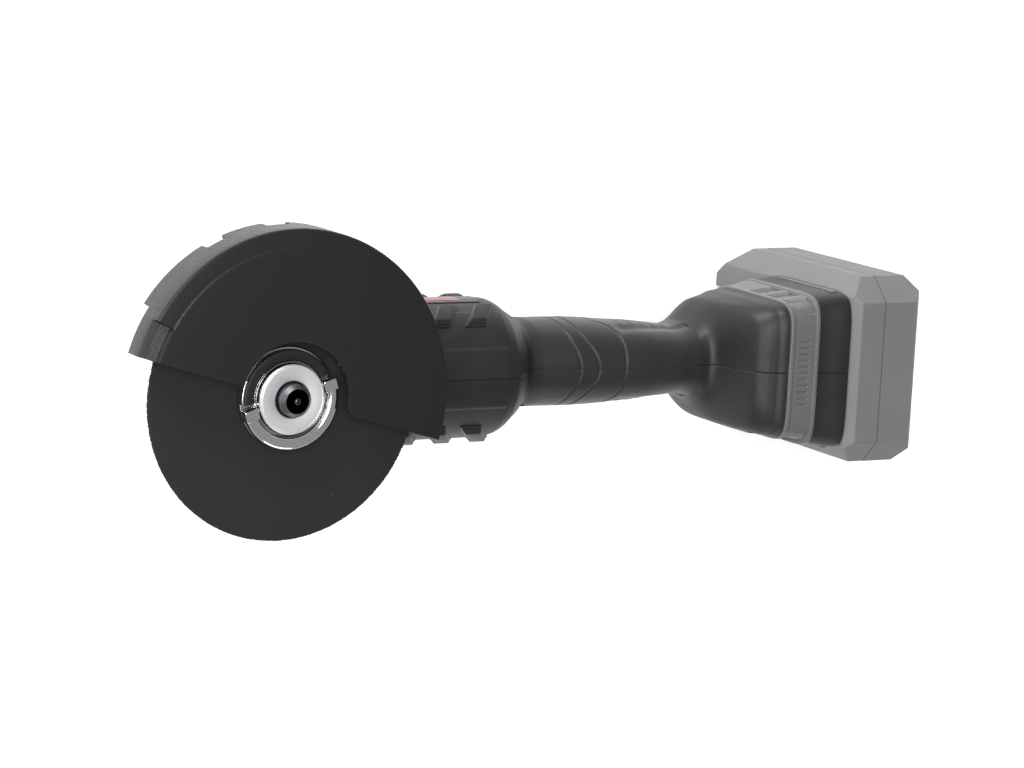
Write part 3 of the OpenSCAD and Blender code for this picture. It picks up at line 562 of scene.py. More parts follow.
def ground_steel(name, tone, roughness, streak=(1, 1, 12)):
    """Ground or drawn steel: short scratches run along one direction and blur reflections that way."""
    material, tree, shader, where = new_material(name, Metallic=1.0, Roughness=roughness)
    stretched = add_node(tree, "VectorMath", {"operation": "MULTIPLY", 1: streak}, {0: where}).outputs[0]
    scratches = grain(tree, stretched, 2.0, 4, 0.65)
    tree.links.new(tinted(tree, spread(tree, scratches, 0, 1), tone, 1.08), shader.inputs["Base Color"])
    tree.links.new(spread(tree, scratches, roughness - 0.07, roughness + 0.09), shader.inputs["Roughness"])
    bumped(tree, shader, scratches, 0.01)
    return material


def bonded_abrasive(name, tone):
    """Resin-bonded aluminium oxide: dark resin holds grit of about half a millimetre, a few grains catch the
    light, and a woven glass scrim under the face shows as a faint square weave 3 mm apart."""
    material, tree, shader, where = new_material(name, Roughness=0.82, IOR=1.55, Specular_IOR_Level=0.3)
    grit = add_node(tree, "TexVoronoi", {"Scale": 1 / (0.55 * MM)}, {"Vector": where})
    lumps = grain(tree, where, 0.5, 4, 0.7)
    weave = [
        add_node(
            tree, "TexWave", {"bands_direction": way, "Scale": 1 / (3.0 * MM) / 20, "Distortion": 0.6,
            "Detail": 1}, {"Vector": where}).outputs["Fac"] for way in ("X", "Y")]
    scrim = add_node(tree, "Math", {"operation": "MULTIPLY"}, {0: weave[0], 1: weave[1]}).outputs[0]
    height = add_node(
        tree, "Math", {"operation": "MULTIPLY_ADD", 1: 0.25}, {0: scrim, 2: lumps}).outputs[0]
    bright = add_node(
        tree, "Math", {"operation": "GREATER_THAN", 1: 0.97}, {0: grit.outputs["Color"]}).outputs[0]
    base = tinted(tree, spread(tree, lumps, 0, 1), tone, 1.12)
    mix = add_node(tree, "Mix", {"data_type": "RGBA"}, {0: bright, 6: base})
    mix.inputs[7].default_value = (*linear("#3c3c3b"), 1)
    tree.links.new(mix.outputs[2], shader.inputs["Base Color"])
    bumped(tree, shader, height, 0.1)
    return material


def wound_copper(name, tone):
    """Enamelled copper wire: parallel turns of 0.7 mm wire under a glossy amber enamel, its colour darkened
    by painted shade in the gaps between turns and lightened by a painted highlight along their crests.
    """
    material, tree, shader, where = new_material(
        name, Metallic=1.0, Roughness=0.3, Coat_Weight=0.6, Coat_Roughness=0.15)
    turns = add_node(
        tree, "TexWave", {"bands_direction": "X", "Scale": 1 / (0.7 * MM) / 20},
        {"Vector": where}).outputs["Fac"]
    # painted shade in the gaps between the turns and painted highlight along their crests, following the
    # bump
    tree.links.new(tinted(tree, turns, tone, 1.15, 0.55), shader.inputs["Base Color"])
    bumped(tree, shader, turns, 0.2)
    return material


def circuit_lacquer(name, tone):
    """Circuit board: green lacquer over copper tracks, which stand slightly proud and lighter."""
    material, tree, shader, where = new_material(name, Roughness=0.35, Coat_Weight=0.3)
    tracks = add_node(
        tree, "TexBrick", {"Scale": 1 / (9.0 * MM), "Mortar Size": 0.03}, {"Vector": where}).outputs["Fac"]
    tree.links.new(tinted(tree, tracks, tone, 1.5, 0.9), shader.inputs["Base Color"])
    bumped(tree, shader, tracks, 0.05)
    return material


def make_materials():
    """Every finish of the grinder, by the record's slot names."""
    tones = colours()
    return {
        # die-cast gear case under satin black paint
        "gear_case_coat": cast_coat("Painted magnesium casting", linear("#222224"), 0.5),
        # wear pad and lock button of plain nylon
        "black_pad": moulded("Nylon wear pad", linear("#1c1c1d"), 0.6, 0.8, 0.05),
        # small screws, collar and bush
        "zinc_steel": ground_steel("Zinc-plated steel", linear("#a9acae"), 0.34),
        # bearing cover, darker paint than plating
        "cover_casting": cast_coat("Painted bearing cover", linear("#2c2d2f"), 0.45),
        "bearing_steel": ground_steel("Ground bearing steel", linear("#b9bcc0"), 0.22),
        "inner_plastic": moulded("Black glass-filled nylon", linear("#232324"), 0.55, 0.9, 0.05),
        "lamination_steel": ground_steel("Stacked lamination steel", linear("#85878a"), 0.4, (12, 1, 1)),
        "copper_wire": wound_copper("Enamelled copper wire", linear("#b5682e")),
        # motor and foot shells, spark-eroded mould with a soft sheen
        "housing_plastic": moulded("Spark-eroded nylon", tuple(tones.housing), 0.46, 0.7, 0.05),
        # soft-touch elastomer, finer and glossier where hands rub it
        "soft_grip": moulded("Moulded-on soft elastomer", tuple(tones.grip), 0.5, 0.5, 0.035, sheen=0.12),
        "label_film": moulded("Printed label film", tuple(tones.red), 0.3, 3.0, 0.01),
        # pearl-filled plastic of the foot's band
        "silver_plastic": moulded("Pearl-filled ABS", tuple(tones.band), 0.36, 0.45, 0.02, mottle=1.04),
        "contact_brass": ground_steel("Stamped brass", linear("#c2a25a"), 0.3),
        "circuit_board": circuit_lacquer("Lacquered circuit board", linear("#2f5b3c")),
        "spring_steel": ground_steel("Drawn spring steel", linear("#9da0a4"), 0.3),
        # oxide finish: dark steel that still glints on its edges
        "blackened_steel": ground_steel("Blackened steel", linear("#66686a"), 0.42, (1, 1, 1)),
        "gear_steel": ground_steel("Case-hardened steel", linear("#85888b"), 0.32),
        "bonded_abrasive": bonded_abrasive("Resin-bonded abrasive", tuple(tones.disc)),
        # nickel: slightly warmer and duller than the bail's chrome
        "nickel_plate": plated("Nickel plate", linear("#c8c8c6"), 0.16),
        "nut_plastic": moulded("Acetal ring", linear("#1e1e1f"), 0.42, 1.2, 0.03),
        "turned_steel": lathe_turned("Face-turned steel", linear("#efeff0"), 0.5),
        "chrome_plate": plated("Polished chrome", linear("#e4e4e6"), 0.07),
        "magnet": ground_steel("Nickel-coated magnet", linear("#7a7d82"), 0.3),
        "guard_coat": powder_coat("Textured powder coat", tuple(tones.guard), 0.42),
        "lever_red": moulded("Glossy red nylon", tuple(tones.red), 0.32, 1.5, 0.02),
        "switch_red": moulded("Red switch nylon", tuple(tones.red), 0.36, 1.5, 0.02),
        # battery case, coarser eroded texture
        "battery_plastic": moulded(
            "Eroded ABS battery case", tuple(tones.battery), 0.55, 0.8, 0.05, mottle=1.03),
        "cell_wrap": moulded("Shrink-wrap film", linear("#3f6ea5"), 0.3, 4.0, 0.02),
        "button_plastic": moulded("Grey ABS button", linear("#636363"), 0.5, 0.8, 0.04),
    }


FINISH = {}


def finish(slot):
    """The material of a slot; all of them are made on first use."""
    if not FINISH:
        FINISH.update(make_materials())
    return FINISH[slot]


# ---------------------------------------------------------------- guard

CREASE_R = 64.5
ARCH_R = 25.0
COVER_T = 2.0
TAB_ENDS = [(70.0, 88.0), (97.0, 111.5), (119.6, 147.0)]  # snap tabs along the rim, in degrees
NOTCH_ANGLE = 150.7


def guard_cover():
    """Cover profile of [r, z] carried from the straight edge's one end to the other. The rim's foot drops by
    the tabs' height where a tab stands, the arch's corner is a fillet r = a + f - sqrt(f^2 - (f - s)^2) at
    arc distance s from the edge, and past the notch angle the rim's top is cut away."""
    start, stop = GUARD_ANGLE, GUARD_ANGLE + 180
    degrees = np.unique(np.round(np.concatenate([
        np.linspace(start, stop, 361), start + 12 * np.linspace(0, 1, 40) ** 2,
        [end + d for pair in TAB_ENDS for end in pair for d in (-0.25, 0.0, 0.25)],
        [NOTCH_ANGLE - 0.12, NOTCH_ANGLE + 0.12]]), 3))
    tab = sum(window(degrees, low, high, 0.25) for low, high in TAB_ENDS)
    notch = ease((degrees - NOTCH_ANGLE + 0.12) / 0.24)
    fillet = 4.0
    s = np.clip(ARCH_R * np.radians(degrees - start), 0, fillet)
    inner = ARCH_R + fillet - np.sqrt(fillet**2 - (fillet - s) ** 2)
    foot = DISC_MID - 5 + (TAB_Z - DISC_MID + 5) * tab
    hook = GUARD_R - COVER_T - 2.4 * tab
    rim_top = FACE_Z - 1.9 - 4.2 * notch
    wall = GUARD_R - COVER_T
    leg = 1 - notch
    loop = [
        (inner, FACE_Z - COVER_T), (inner, FACE_Z - 0.3), (inner + 0.3, FACE_Z),
        (CREASE_R - 0.5, FACE_Z), (CREASE_R + 0.2, FACE_Z - 0.12),
        (CREASE_R + 0.7, FACE_Z - 0.5 - 1.2 * notch),
        (CREASE_R + 1.0 + (GUARD_R - CREASE_R - 2.4) * leg, FACE_Z - 1.15 - 1.5 * notch),
        (GUARD_R - 0.7 - (GUARD_R - CREASE_R - 1.9) * notch, FACE_Z - 1.3 - 3.2 * notch),
        (GUARD_R - 0.25 - 1.2 * notch, FACE_Z - 1.55 - 4.2 * notch),
        (GUARD_R, rim_top - 0.15), (GUARD_R, rim_top - 1.2),
        (GUARD_R, foot + 0.7), (GUARD_R - 0.25, foot + 0.2), (GUARD_R - 0.8, foot),
        (hook + 0.3, foot), (hook, foot + 0.3), (hook, np.maximum(foot, PLATE_Z - 0.4 - 0.2 * (1 - tab))),
        (wall, np.maximum(foot + 0.02, PLATE_Z - 0.4)), (wall, DISC_MID),
        (wall, FACE_Z - COVER_T - 0.9 - 3.4 * notch), (CREASE_R + 1.0 * leg, FACE_Z - COVER_T - 0.1)]
    r, z = (np.stack([np.broadcast_to(point[k], degrees.shape) for point in loop], axis=1) for k in (0, 1))
    a = np.radians(degrees)[:, None]
    return grid_solid(np.stack([r * np.cos(a), r * np.sin(a), z], axis=-1))


def guard_base():
    """Steel plate, wall and the lip round the disc, one rounded profile carried round, with a full ring at
    the collar."""
    out = GUARD_R - COVER_T - 0.3
    thick = 1.5
    lip_z = DISC_MID + 5.2
    profile = rounded([
        [25, PLATE_Z], [out, PLATE_Z], [out, lip_z], [CREASE_R + 0.1, lip_z],
        [CREASE_R + 0.1, lip_z - thick], [out - thick, lip_z - thick],
        [out - thick, PLATE_Z + thick], [25, PLATE_Z + thick]],
        [0.2, 1.2, 1.0, 0.6, 0.6, 0.4, 0.6, 0.2])
    angles = np.radians(np.linspace(GUARD_ANGLE + 2, GUARD_ANGLE + 178, 241))
    sector = grid_solid(turned(profile, angles))
    ring = rounded([
        [SEAT_R + 0.1, PLATE_Z], [28, PLATE_Z], [28, PLATE_Z + thick],
        [SEAT_R + 0.1, PLATE_Z + thick]], 0.25)
    return joined([sector, turned_ring(ring, 128)])


def guard_lip_edge():
    """Small round bead of bright steel along the lip's inner edge, drawn only over the arc that shows
    through the notch.
    """
    bead = full_circle(12)
    profile = np.column_stack([CREASE_R + 0.35 + 0.55 * np.cos(bead), DISC_MID + 4.6 + 0.8 * np.sin(bead)])
    # the bright bead runs only over the arc seen through the notch, not along the whole lip
    angles = np.radians(np.linspace(NOTCH_ANGLE - 2, GUARD_ANGLE + 177.4, 60))
    return grid_solid(turned(profile, angles))


class GRINDER_OT_guard(Operator):
    """Builds the guard's cover, its steel base with the lip, and finishes its collar and lever"""

    bl_idname = "grinder.guard"
    bl_label = "Guard"

    def execute(self, context):
        add_solid("guard_cover_shell", guard_cover(), "guard", "guard_coat", replaces=("guard_cover",),
                  sharp=28)
        add_solid("guard_base_plate", guard_base(), "guard", "guard_coat", replaces=("guard_base",),
                  sharp=40)
        add_solid("guard_lip_edge", guard_lip_edge(), "guard", "zinc_steel")
        reworked(guard_collar=0.25, guard_lever=0.5)
        return {"FINISHED"}


# ---------------------------------------------------------------- disc


def cutting_disc(chipping):
    """Flat disc profile turned round the spindle; its rim strays inwards by a seeded random share of the
    chipping at each of 1200 angles."""
    t = DISC_HIGH[2] - DISC_LOW[2]
    steps = 1200
    worn = np.random.default_rng(11).uniform(0, 1, steps) ** 1.5 * chipping
    rows = [
        (BUSH_R, DISC_LOW[2] + 0.1, 0), (BUSH_R + 0.1, DISC_LOW[2], 0), (30, DISC_LOW[2], 0),
        (DISC_R - 1, DISC_LOW[2], 0), (DISC_R - 0.25, DISC_LOW[2] + 0.1, 1),
        (DISC_R, DISC_LOW[2] + 0.3 * t, 1), (DISC_R, DISC_LOW[2] + 0.7 * t, 1),
        (DISC_R - 0.25, DISC_HIGH[2] - 0.1, 1),
        (DISC_R - 1, DISC_HIGH[2], 0), (30, DISC_HIGH[2], 0), (BUSH_R + 0.1, DISC_HIGH[2], 0),
        (BUSH_R, DISC_HIGH[2] - 0.1, 0)]
    r, z, wears = np.array(rows, float).T
    a = full_circle(steps)[:, None]
    radius = r - wears * worn[:, None]
    points = np.stack([radius * np.cos(a), radius * np.sin(a), np.broadcast_to(z, radius.shape)], axis=-1)
    return grid_solid(points, close_rows=True)


class GRINDER_OT_disc(Operator):
    """Builds the cutting disc with its worn rim, and finishes its bush and flange"""

    bl_idname = "grinder.disc"
    bl_label = "Cutting disc"

    def execute(self, context):
        add_solid("abrasive_disc", cutting_disc(sizes().disc_chipping), "spindle_group", "bonded_abrasive",
                  replaces=("cutting_disc",), sharp=60)
        reworked(disc_bush=0.12, inner_flange=0.3)
        return {"FINISHED"}


# ---------------------------------------------------------------- quick nut and spindle

FACE_HOLE_R = 7.8
FACE_R = 15.0
RING_R = 20.4


def spindle_end(pitch):
    """Threaded end: r = R - depth * |2 frac(z / pitch - a / 2 pi) - 1| with its crests and roots clipped
    flat, fading under the chamfer, then the end face with a centre hole."""
    top, low = TIP_Z, box_mm("inner_flange")[1][2]
    outer, depth, chamfer = 7.0, 1.0, 1.6
    z = np.linspace(low, top - chamfer, 110)
    a = full_circle(96)
    zz, aa = np.meshgrid(z, a, indexing="ij")
    saw = np.abs(2 * ((zz / pitch - aa / (2 * np.pi)) % 1) - 1)
    fade = ease((top - chamfer - zz) / 1.2)
    shank = outer - depth * np.clip((saw - 0.15) / 0.7, 0, 1) * fade
    side = np.stack([shank * np.cos(aa), shank * np.sin(aa), zz], axis=-1)
    end = turned(
        [[5.5, top - 0.12], [5.3, top], [1.35, top], [1.1, top - 0.25], [1.1, top - 2.6], [0, top - 3.2]], a)
    root = turned([[0, low]], a)
    return grid_solid(np.concatenate([root.transpose(1, 0, 2), side, end.transpose(1, 0, 2)]), ends="none")


def nut_body():
    """Flange, hub and step of the nut turned from one rounded profile."""
    low = DISC_HIGH[2]
    floor = low + 2.2
    profile = rounded([
        [11.4, low], [NUT_R, low], [NUT_R, floor], [15.6, floor], [14.7, floor + 0.4], [14.7, NUT_TOP - 1.3],
        [7.9, NUT_TOP - 1.3], [7.9, NUT_TOP - 3], [7.05, NUT_TOP - 3.4], [7.05, low + 1], [11.4, low + 1]],
        [0.2, 0.6, 0.5, 0.3, 0.3, 0.2, 0.2, 0.2, 0.2, 0.2, 0.2])
    return turned_ring(profile)


def nut_rim_lit_side():
    """Thin wall that stands beside the black ring, next to one of the bail's ears, only on the lit side; its
    chrome look, brighter than the nut's nickel, is painted light on that wall.
    """
    low = DISC_HIGH[2] + 1.8
    profile = rounded([[NUT_R - 1, low], [NUT_R, low], [NUT_R, low + 3], [NUT_R - 1, low + 3]], 0.35)
    angles = np.radians(BAIL_ANGLE + np.linspace(140, 168, 41))
    return grid_solid(turned(profile, angles))


def nut_ring():
    """Black half ring between the rim and the face, its top dished and its inner edge rounded."""
    low = DISC_HIGH[2] + 2.2
    profile = rounded([
        [16.0, low], [RING_R + 0.35, low], [RING_R + 0.35, low + 2.9], [18.6, low + 3.2], [16.0, low + 2.6]],
        [0.1, 0.1, 0.5, 1.5, 0.6])
    angles = np.radians(BAIL_ANGLE + np.linspace(11, 169, 121))
    return grid_solid(turned(profile, angles))


def nut_face():
    """Bright pressed ring with chamfered edges and one fine groove near its rim."""
    top, low = NUT_TOP, NUT_TOP - 1.4
    profile = [
        [FACE_HOLE_R, low], [FACE_R - 0.3, low], [FACE_R, low + 0.3], [FACE_R, top - 0.5],
        [FACE_R - 0.45, top - 0.05], [FACE_R - 0.9, top], [FACE_R - 1.05, top - 0.12],
        [FACE_R - 1.2, top], [FACE_HOLE_R + 0.7, top], [FACE_HOLE_R + 0.35, top - 0.1],
        [FACE_HOLE_R, top - 0.5]]
    return turned_ring(profile)


def groove_lip():
    """Thin bright lip round the face, at the bottom of the dark groove."""
    low = DISC_HIGH[2] + 4.6
    profile = rounded([[15.35, low], [15.8, low], [15.8, low + 0.7], [15.35, low + 0.7]], 0.15)
    return turned_ring(profile)


def bail():
    """Half ring of a rounded section: r = 19.35 + 2.7 sgn(cos t) |cos t|^0.9 and, above the hinge,
    z = 2.7 sgn(sin t) |sin t|^0.8."""
    sweep = np.radians(np.concatenate([
        np.linspace(186, 190, 8), np.linspace(191, 349, 121), np.linspace(350, 354, 8)]))
    turn = full_circle(40)
    r = 19.35 + 2.7 * np.sign(np.cos(turn)) * np.abs(np.cos(turn)) ** 0.9
    z = HINGE_Z + 2.7 * np.sign(np.sin(turn)) * np.abs(np.sin(turn)) ** 0.8
    profile = np.column_stack([r, z])
    points = turned(profile, sweep + math.radians(BAIL_ANGLE))
    return grid_solid(points)


def bail_ears():
    """Flat square ears at both ends of the bail, on its hinge axis."""
    solids = []
    for side in (-1, 1):
        place = Matrix.Rotation(math.radians(BAIL_ANGLE), 4, "Z") @ Matrix.Translation(
            (side * 18.9, -0.6, HINGE_Z - 2.4))
        solids.append(placed(block(6.2, 5.0, crowned(4.9, 0.5), 0.6), place))
    return joined(solids)


class GRINDER_OT_quick_nut(Operator):
    """Builds the quick nut's body, ring, face and bail, and the threaded spindle end"""

    bl_idname = "grinder.quick_nut"
    bl_label = "Quick nut"

    def execute(self, context):
        add_solid("nut_flange", nut_body(), "spindle_group", "nickel_plate", replaces=("nut_body",))
        # chrome look on a nickel part, on the lit arc only: a brighter copy of the plating standing in for
        # the light on that wall
        add_solid("nut_rim_lit_side", nut_rim_lit_side(), "spindle_group", "nickel_plate", look="chrome_plate")
        add_solid("nut_black_ring", nut_ring(), "spindle_group", "nut_plastic", replaces=("nut_insert",))
        add_solid("nut_turned_face", nut_face(), "spindle_group", "turned_steel", replaces=("nut_face",))
        add_solid("nut_groove_lip", groove_lip(), "spindle_group", "nickel_plate")
        add_solid("bail_ring", bail(), "bail", "chrome_plate", replaces=("nut_bail",), sharp=45)
        add_solid("bail_ears", bail_ears(), "bail", "chrome_plate")
        add_solid("spindle_thread", spindle_end(sizes().thread_pitch), "spindle_group", "blackened_steel",
                  sharp=40)
        return {"FINISHED"}


# ---------------------------------------------------------------- housing


def housing_detail(x, angle, y, side):
    """Rise of the shells' skin: a raised panel on the barrel's disc side with a wider one under it, the
    creases that frame the foot, a slit before the grip and the edge rolled in along the seam."""
    degrees = np.degrees(angle)
    panel = 0.55 * window(x, 85.6, 119, 0.5) * window(degrees, 66, 109, 1.2)
    lower_panel = 0.35 * window(x, 62, 121, 0.5) * window(degrees, 30, 150, 1.0)
    crease = 0.1 * ridge(x - 246.5, 0.9) - 0.3 * ridge(x - 250.5, 0.6) + 0.15 * ridge(x - 253.3, 0.7)
    crease = crease * window(degrees, -60, 240, 10)
    slit = -1.6 * ridge(x - 130.5 - 0.12 * (degrees - 20), 0.8) * window(degrees, 12, 26, 2) * (side > 0)
    rolled = -0.4 * np.clip(1 - np.abs(y) / 0.55, 0, 1) ** 2
    return panel + lower_panel + crease + slit + rolled


def half_angles(count):
    """Angles from -90 to 90 degrees, closer together at the seam."""
    near = np.array([0, 0.25, 0.5, 0.8, 1.2])
    return np.radians(np.concatenate([-90 + near, np.linspace(-88, 88, count), 90 - near[::-1]]))


def shell_half(x, outer_inset, inner_inset, rise, side, count=150):
    """C-shaped wall over half the section: up the outside, raised by rise(x, angle, y, side), and back down
    the inside; side -1 mirrors it."""
    angle = half_angles(count)
    outer = skin(x, angle, outer_inset)
    xx, aa = np.meshgrid(x, angle, indexing="ij")
    outer = raised(outer, rise(xx, aa, outer[..., 1], side))
    outer[:, [0, -1], 1] = 0.02
    inner = skin(x, angle[::-1], inner_inset)
    inner[:, [0, -1], 1] = 0.02
    points = np.concatenate([outer, inner], axis=1)
    points[..., 1] *= side
    return grid_solid(points, ends="strip")


def shell_stations():
    """X of the shells' rings, every 0.9 mm, with each step between skin and recess as two close rings."""
    steps = [edge + d for edge in (GRIP_X[0], GRIP_X[1], BAND_X[0], BAND_X[1]) for d in (-0.06, 0.06)]
    return np.unique(np.concatenate([np.arange(FLANGE_X, FOOT_X, 0.9), steps, [FOOT_X]]))


def screw_cutters(radius, depth):
    """Cylinders along Y that sink each screw's head into the -Y side."""
    a = full_circle(32)
    solids = []
    for x, z in HOUSING_SCREWS:
        ys = np.array([-60.0, -depth])
        yy, aa = np.meshgrid(ys, a, indexing="ij")
        solids.append(grid_solid(np.stack([x + radius * np.cos(aa), yy, z + radius * np.sin(aa)], axis=-1)))
    return joined(solids)


class GRINDER_OT_housing(Operator):
    """Builds the two shells of the motor and foot with their seam, panels and screw wells"""

    bl_idname = "grinder.housing"
    bl_label = "Housing shells"

    def execute(self, context):
        x = shell_stations()
        sunk = np.where((x > GRIP_X[0]) & (x < GRIP_X[1]) | (x > BAND_X[0]) & (x < BAND_X[1]), RECESS, 0.0)
        inner = np.interp(x, [124, 141], [SHELL_WALL, SHELL_WALL + 1.4])
        bare = (sunk == 0).astype(float)

        def rise(xx, aa, y, side):
            return housing_detail(xx, aa, y, side) * bare[:, None]

        for side, node in ((1, "housing_shell_left"), (-1, "housing_shell_right")):
            piece = add_solid(
                node + "_finished", shell_half(x, sunk, inner, rise, side), "housing", "housing_plastic",
                replaces=(node,), sharp=38)
            slot_cut = placed(block(22, 10, [[0, 0], [9, 0]], 1.0), Matrix.Translation((127, 0, 7.5)))
            carve(piece, slot_cut if side > 0 else joined([slot_cut, screw_cutters(3.1, 9)]))
        reworked(housing_screws=0.15)
        return {"FINISHED"}


# ---------------------------------------------------------------- studs and label on the barrel

LABEL_X = (52, 115)
LABEL_SPLIT = 106  # X where the label's red stripe gives way to its ticks
STUD_XS = (67.5, 85.5, 103.5)
STUD_W = 11.5
STUD_ANGLE = 34  # degrees either side of the side's middle
STUD_SLANT = 0.68  # how far a stud leans towards the gear head per millimetre away from the side


def stud(x, degrees, lean, rise):
    """One stud at an angle from +Y: a low foot, a step, then a block with sloping edges, all of them sheared
    along the barrel by lean per millimetre round it."""
    foot = block(STUD_W - 0.4, 13.4, [[-1.6, 0], [0.3, 0], [0.5, 0.25]], 1.2)
    levels = [[0.2, 0], [1.0, 0], [rise - 0.45, 0.9], [rise - 0.12, 1.15], [rise, 1.5]]
    top = block(STUD_W - 1.6, 11.8, levels, 1.4)
    shear = Matrix.Identity(4)
    shear[0][1] = lean
    place = Matrix.Translation((x + STUD_W / 2 + 0.4, 0, MOTOR_Z))
    turn = Matrix.Rotation(math.radians(degrees) - math.pi / 2, 4, "X")
    return placed(joined([foot, top]), place @ turn @ Matrix.Translation((0, 0, BARREL_R)) @ shear)


def strip_on_barrel(x0, x1, from_deg, to_deg, lift, thick=0.3):
    """Thin strip on the barrel between two X and two angles from +Y."""
    profile = rounded([[BARREL_R + lift - thick, x0], [BARREL_R + lift, x0], [BARREL_R + lift, x1],
                       [BARREL_R + lift - thick, x1]], 0.08, 3)
    points = turned(profile, np.radians(np.linspace(from_deg, to_deg, 24)))
    return grid_solid(to_motor_axis(points))


class GRINDER_OT_barrel_trim(Operator):
    """Builds the rubber studs and the side label on the motor barrel"""

    bl_idname = "grinder.barrel_trim"
    bl_label = "Studs and label"

    def execute(self, context):
        for name, flip in (("left", 0), ("right", 180)):
            solids = [
                stud(x, flip + s * STUD_ANGLE, s * STUD_SLANT, sizes().stud_rise)
                for x in STUD_XS for s in (1, -1)]
            add_solid(f"barrel_studs_{name}", joined(solids), "housing", "soft_grip",
                      replaces=(f"bumper_studs_{name}",), sharp=24)
        x0, x1 = LABEL_X
        film = strip_on_barrel(x0, x1, -14, 14, 0.3, 0.4)
        stripe = strip_on_barrel(x0 + 1, LABEL_SPLIT, -9, 9.5, 0.38)
        lines = [strip_on_barrel(x0 + 1, x1 - 1, *arc, 0.39) for arc in ((11.0, 12.2), (-12.2, -11.0))]
        ticks = [
            strip_on_barrel(x, x + 1.2, -8, 9, 0.39) for x in np.arange(LABEL_SPLIT + 1.2, x1 - 1, 2.2)]
        add_solid("label_base", film, "housing", "label_film", look="nut_plastic", replaces=("side_label",))
        add_solid("label_stripe", stripe, "housing", "label_film")
        add_solid("label_lines", joined(lines + ticks), "housing", "label_film", look="silver_plastic")
        return {"FINISHED"}


# ---------------------------------------------------------------- grip


def grip_grooves(degrees):
    """X of the three curved grooves at an angle: each bows towards the foot over the disc side."""
    return [
        159.0 + 5.2 * ridge(degrees - 92, 32), 164.8 + 8.4 * ridge(degrees - 91, 34),
        186.4 - 5.2 * np.clip(np.abs(degrees - 84) / 60, 0, 1.2) ** 3]


def grip_detail(x, angle, y, side):
    """Rise of the soft grip: three fine grooves, a scoop for the fingers near the foot, ridges on the sides,
    and the seam rolled in."""
    degrees = np.degrees(angle)
    across = degrees if side > 0 else 180 - degrees
    depth = sizes().groove_depth
    rise = sum(-depth * ridge(x - centre, 0.5) for centre in grip_grooves(across))
    rise = rise * window(across, -25, 205, 12)
    leaf = window(x, 190, 224, 6) * ridge(degrees - 30 + 0.35 * (x - 207), 9.0)
    ribs = 0.35 * (0.5 + 0.5 * np.cos(2 * np.pi * (x - 192) / 6.0)) * window(x, 192, 218, 3)
    ribs = ribs * ridge(degrees - 4, 16)
    rolled = -0.35 * np.clip(1 - np.abs(y) / 0.5, 0, 1) ** 2
    return rise - 0.9 * leaf + ribs + rolled


class GRINDER_OT_grip(Operator):
    """Builds the two halves of the soft grip with their grooves and finger scoops"""

    bl_idname = "grinder.grip"
    bl_label = "Soft grip"

    def execute(self, context):
        x = np.concatenate([
            [GRIP_X[0]], np.arange(GRIP_X[0] + 0.2, GRIP_X[1] - 0.1, 0.32), [GRIP_X[1]]])
        for side, node in ((1, "grip_overmould_left"), (-1, "grip_overmould_right")):
            piece = add_solid(
                node + "_finished", shell_half(x, 0.0, RECESS - 0.06, grip_detail, side, 130),
                "housing", "soft_grip", replaces=(node,), sharp=50)
            if side < 0:
                carve(piece, screw_cutters(3.1, 9))
        return {"FINISHED"}


# ---------------------------------------------------------------- foot band and its inserts


def band_detail(x, angle, y, z, ticks):
    """Rise of the band: raised rims at both edges, three slanted louvres in each side, and a row of short
    marks pressed into the disc side."""
    middle = (BAND_X[0] + BAND_X[1]) / 2
    half = (BAND_X[1] - BAND_X[0]) / 2
    past = np.abs(x - middle) - half
    rims = 0.55 * ease((past + 2.2) / 0.5) - 0.5 * ease((past + 0.35) / 0.35)
    side = window(np.abs(y), 28, 60, 1.0)
    slant = z - 0.75 * (x - middle)
    pitch, first = 14.5, 47.0
    place = (slant - first) % pitch
    louvre = window(place, 2.6, 12.4, 0.4) * window(slant, first, first + 3 * pitch, 0.5)
    louvre = louvre * window(np.abs(x - middle), -1, half - 2.9, 0.4) * side
    on_top = window(z, 84, 100, 1.0)
    tick_pitch = 32.0 / ticks
    mark = np.abs((y + tick_pitch / 2) % tick_pitch - tick_pitch / 2)
    marks = window(mark, -1, 0.35, 0.25) * window(np.abs(y), -1, 16.2, 0.2)
    marks = marks * window(np.abs(x - middle), -1, 2.4, 0.3) * on_top
    return rims - 1.25 * louvre - 0.35 * marks


def foot_band(ticks):
    """Closed ring: the raised outer skin on one grid, run back inside at the recess."""
    x = np.linspace(BAND_X[0], BAND_X[1], 62)
    angle = full_circle(900)
    outer = skin(x, angle, -0.3)
    wrapped = np.concatenate([outer[:, -1:], outer, outer[:, :1]], axis=1)
    xx, aa = np.meshgrid(x, angle, indexing="ij")
    rise = band_detail(xx, aa, outer[..., 1], outer[..., 2], ticks)
    outer = outer - grid_normals(wrapped)[:, 1:-1] * rise[..., None]
    inner = skin(x[::-6], angle, RECESS - 0.02)
    return grid_solid(np.concatenate([outer, inner]), close_rows=True)


BAR_X = 281.6  # middle of the bars in the foot's rear edge


def side_inserts():
    """Long light bars let into both sides of the foot's rear edge."""
    solids = []
    for side in (-1, 1):
        y = along(HALF_WIDTH, np.array([BAR_X]))[0]
        turn = Matrix.Rotation(side * math.radians(-90), 4, "X")
        place = Matrix.Translation((BAR_X, side * (y - 0.55), 60)) @ turn
        solids.append(placed(block(2.6, 46, crowned(0.9, 0.3), 0.6), place))
    return joined(solids)


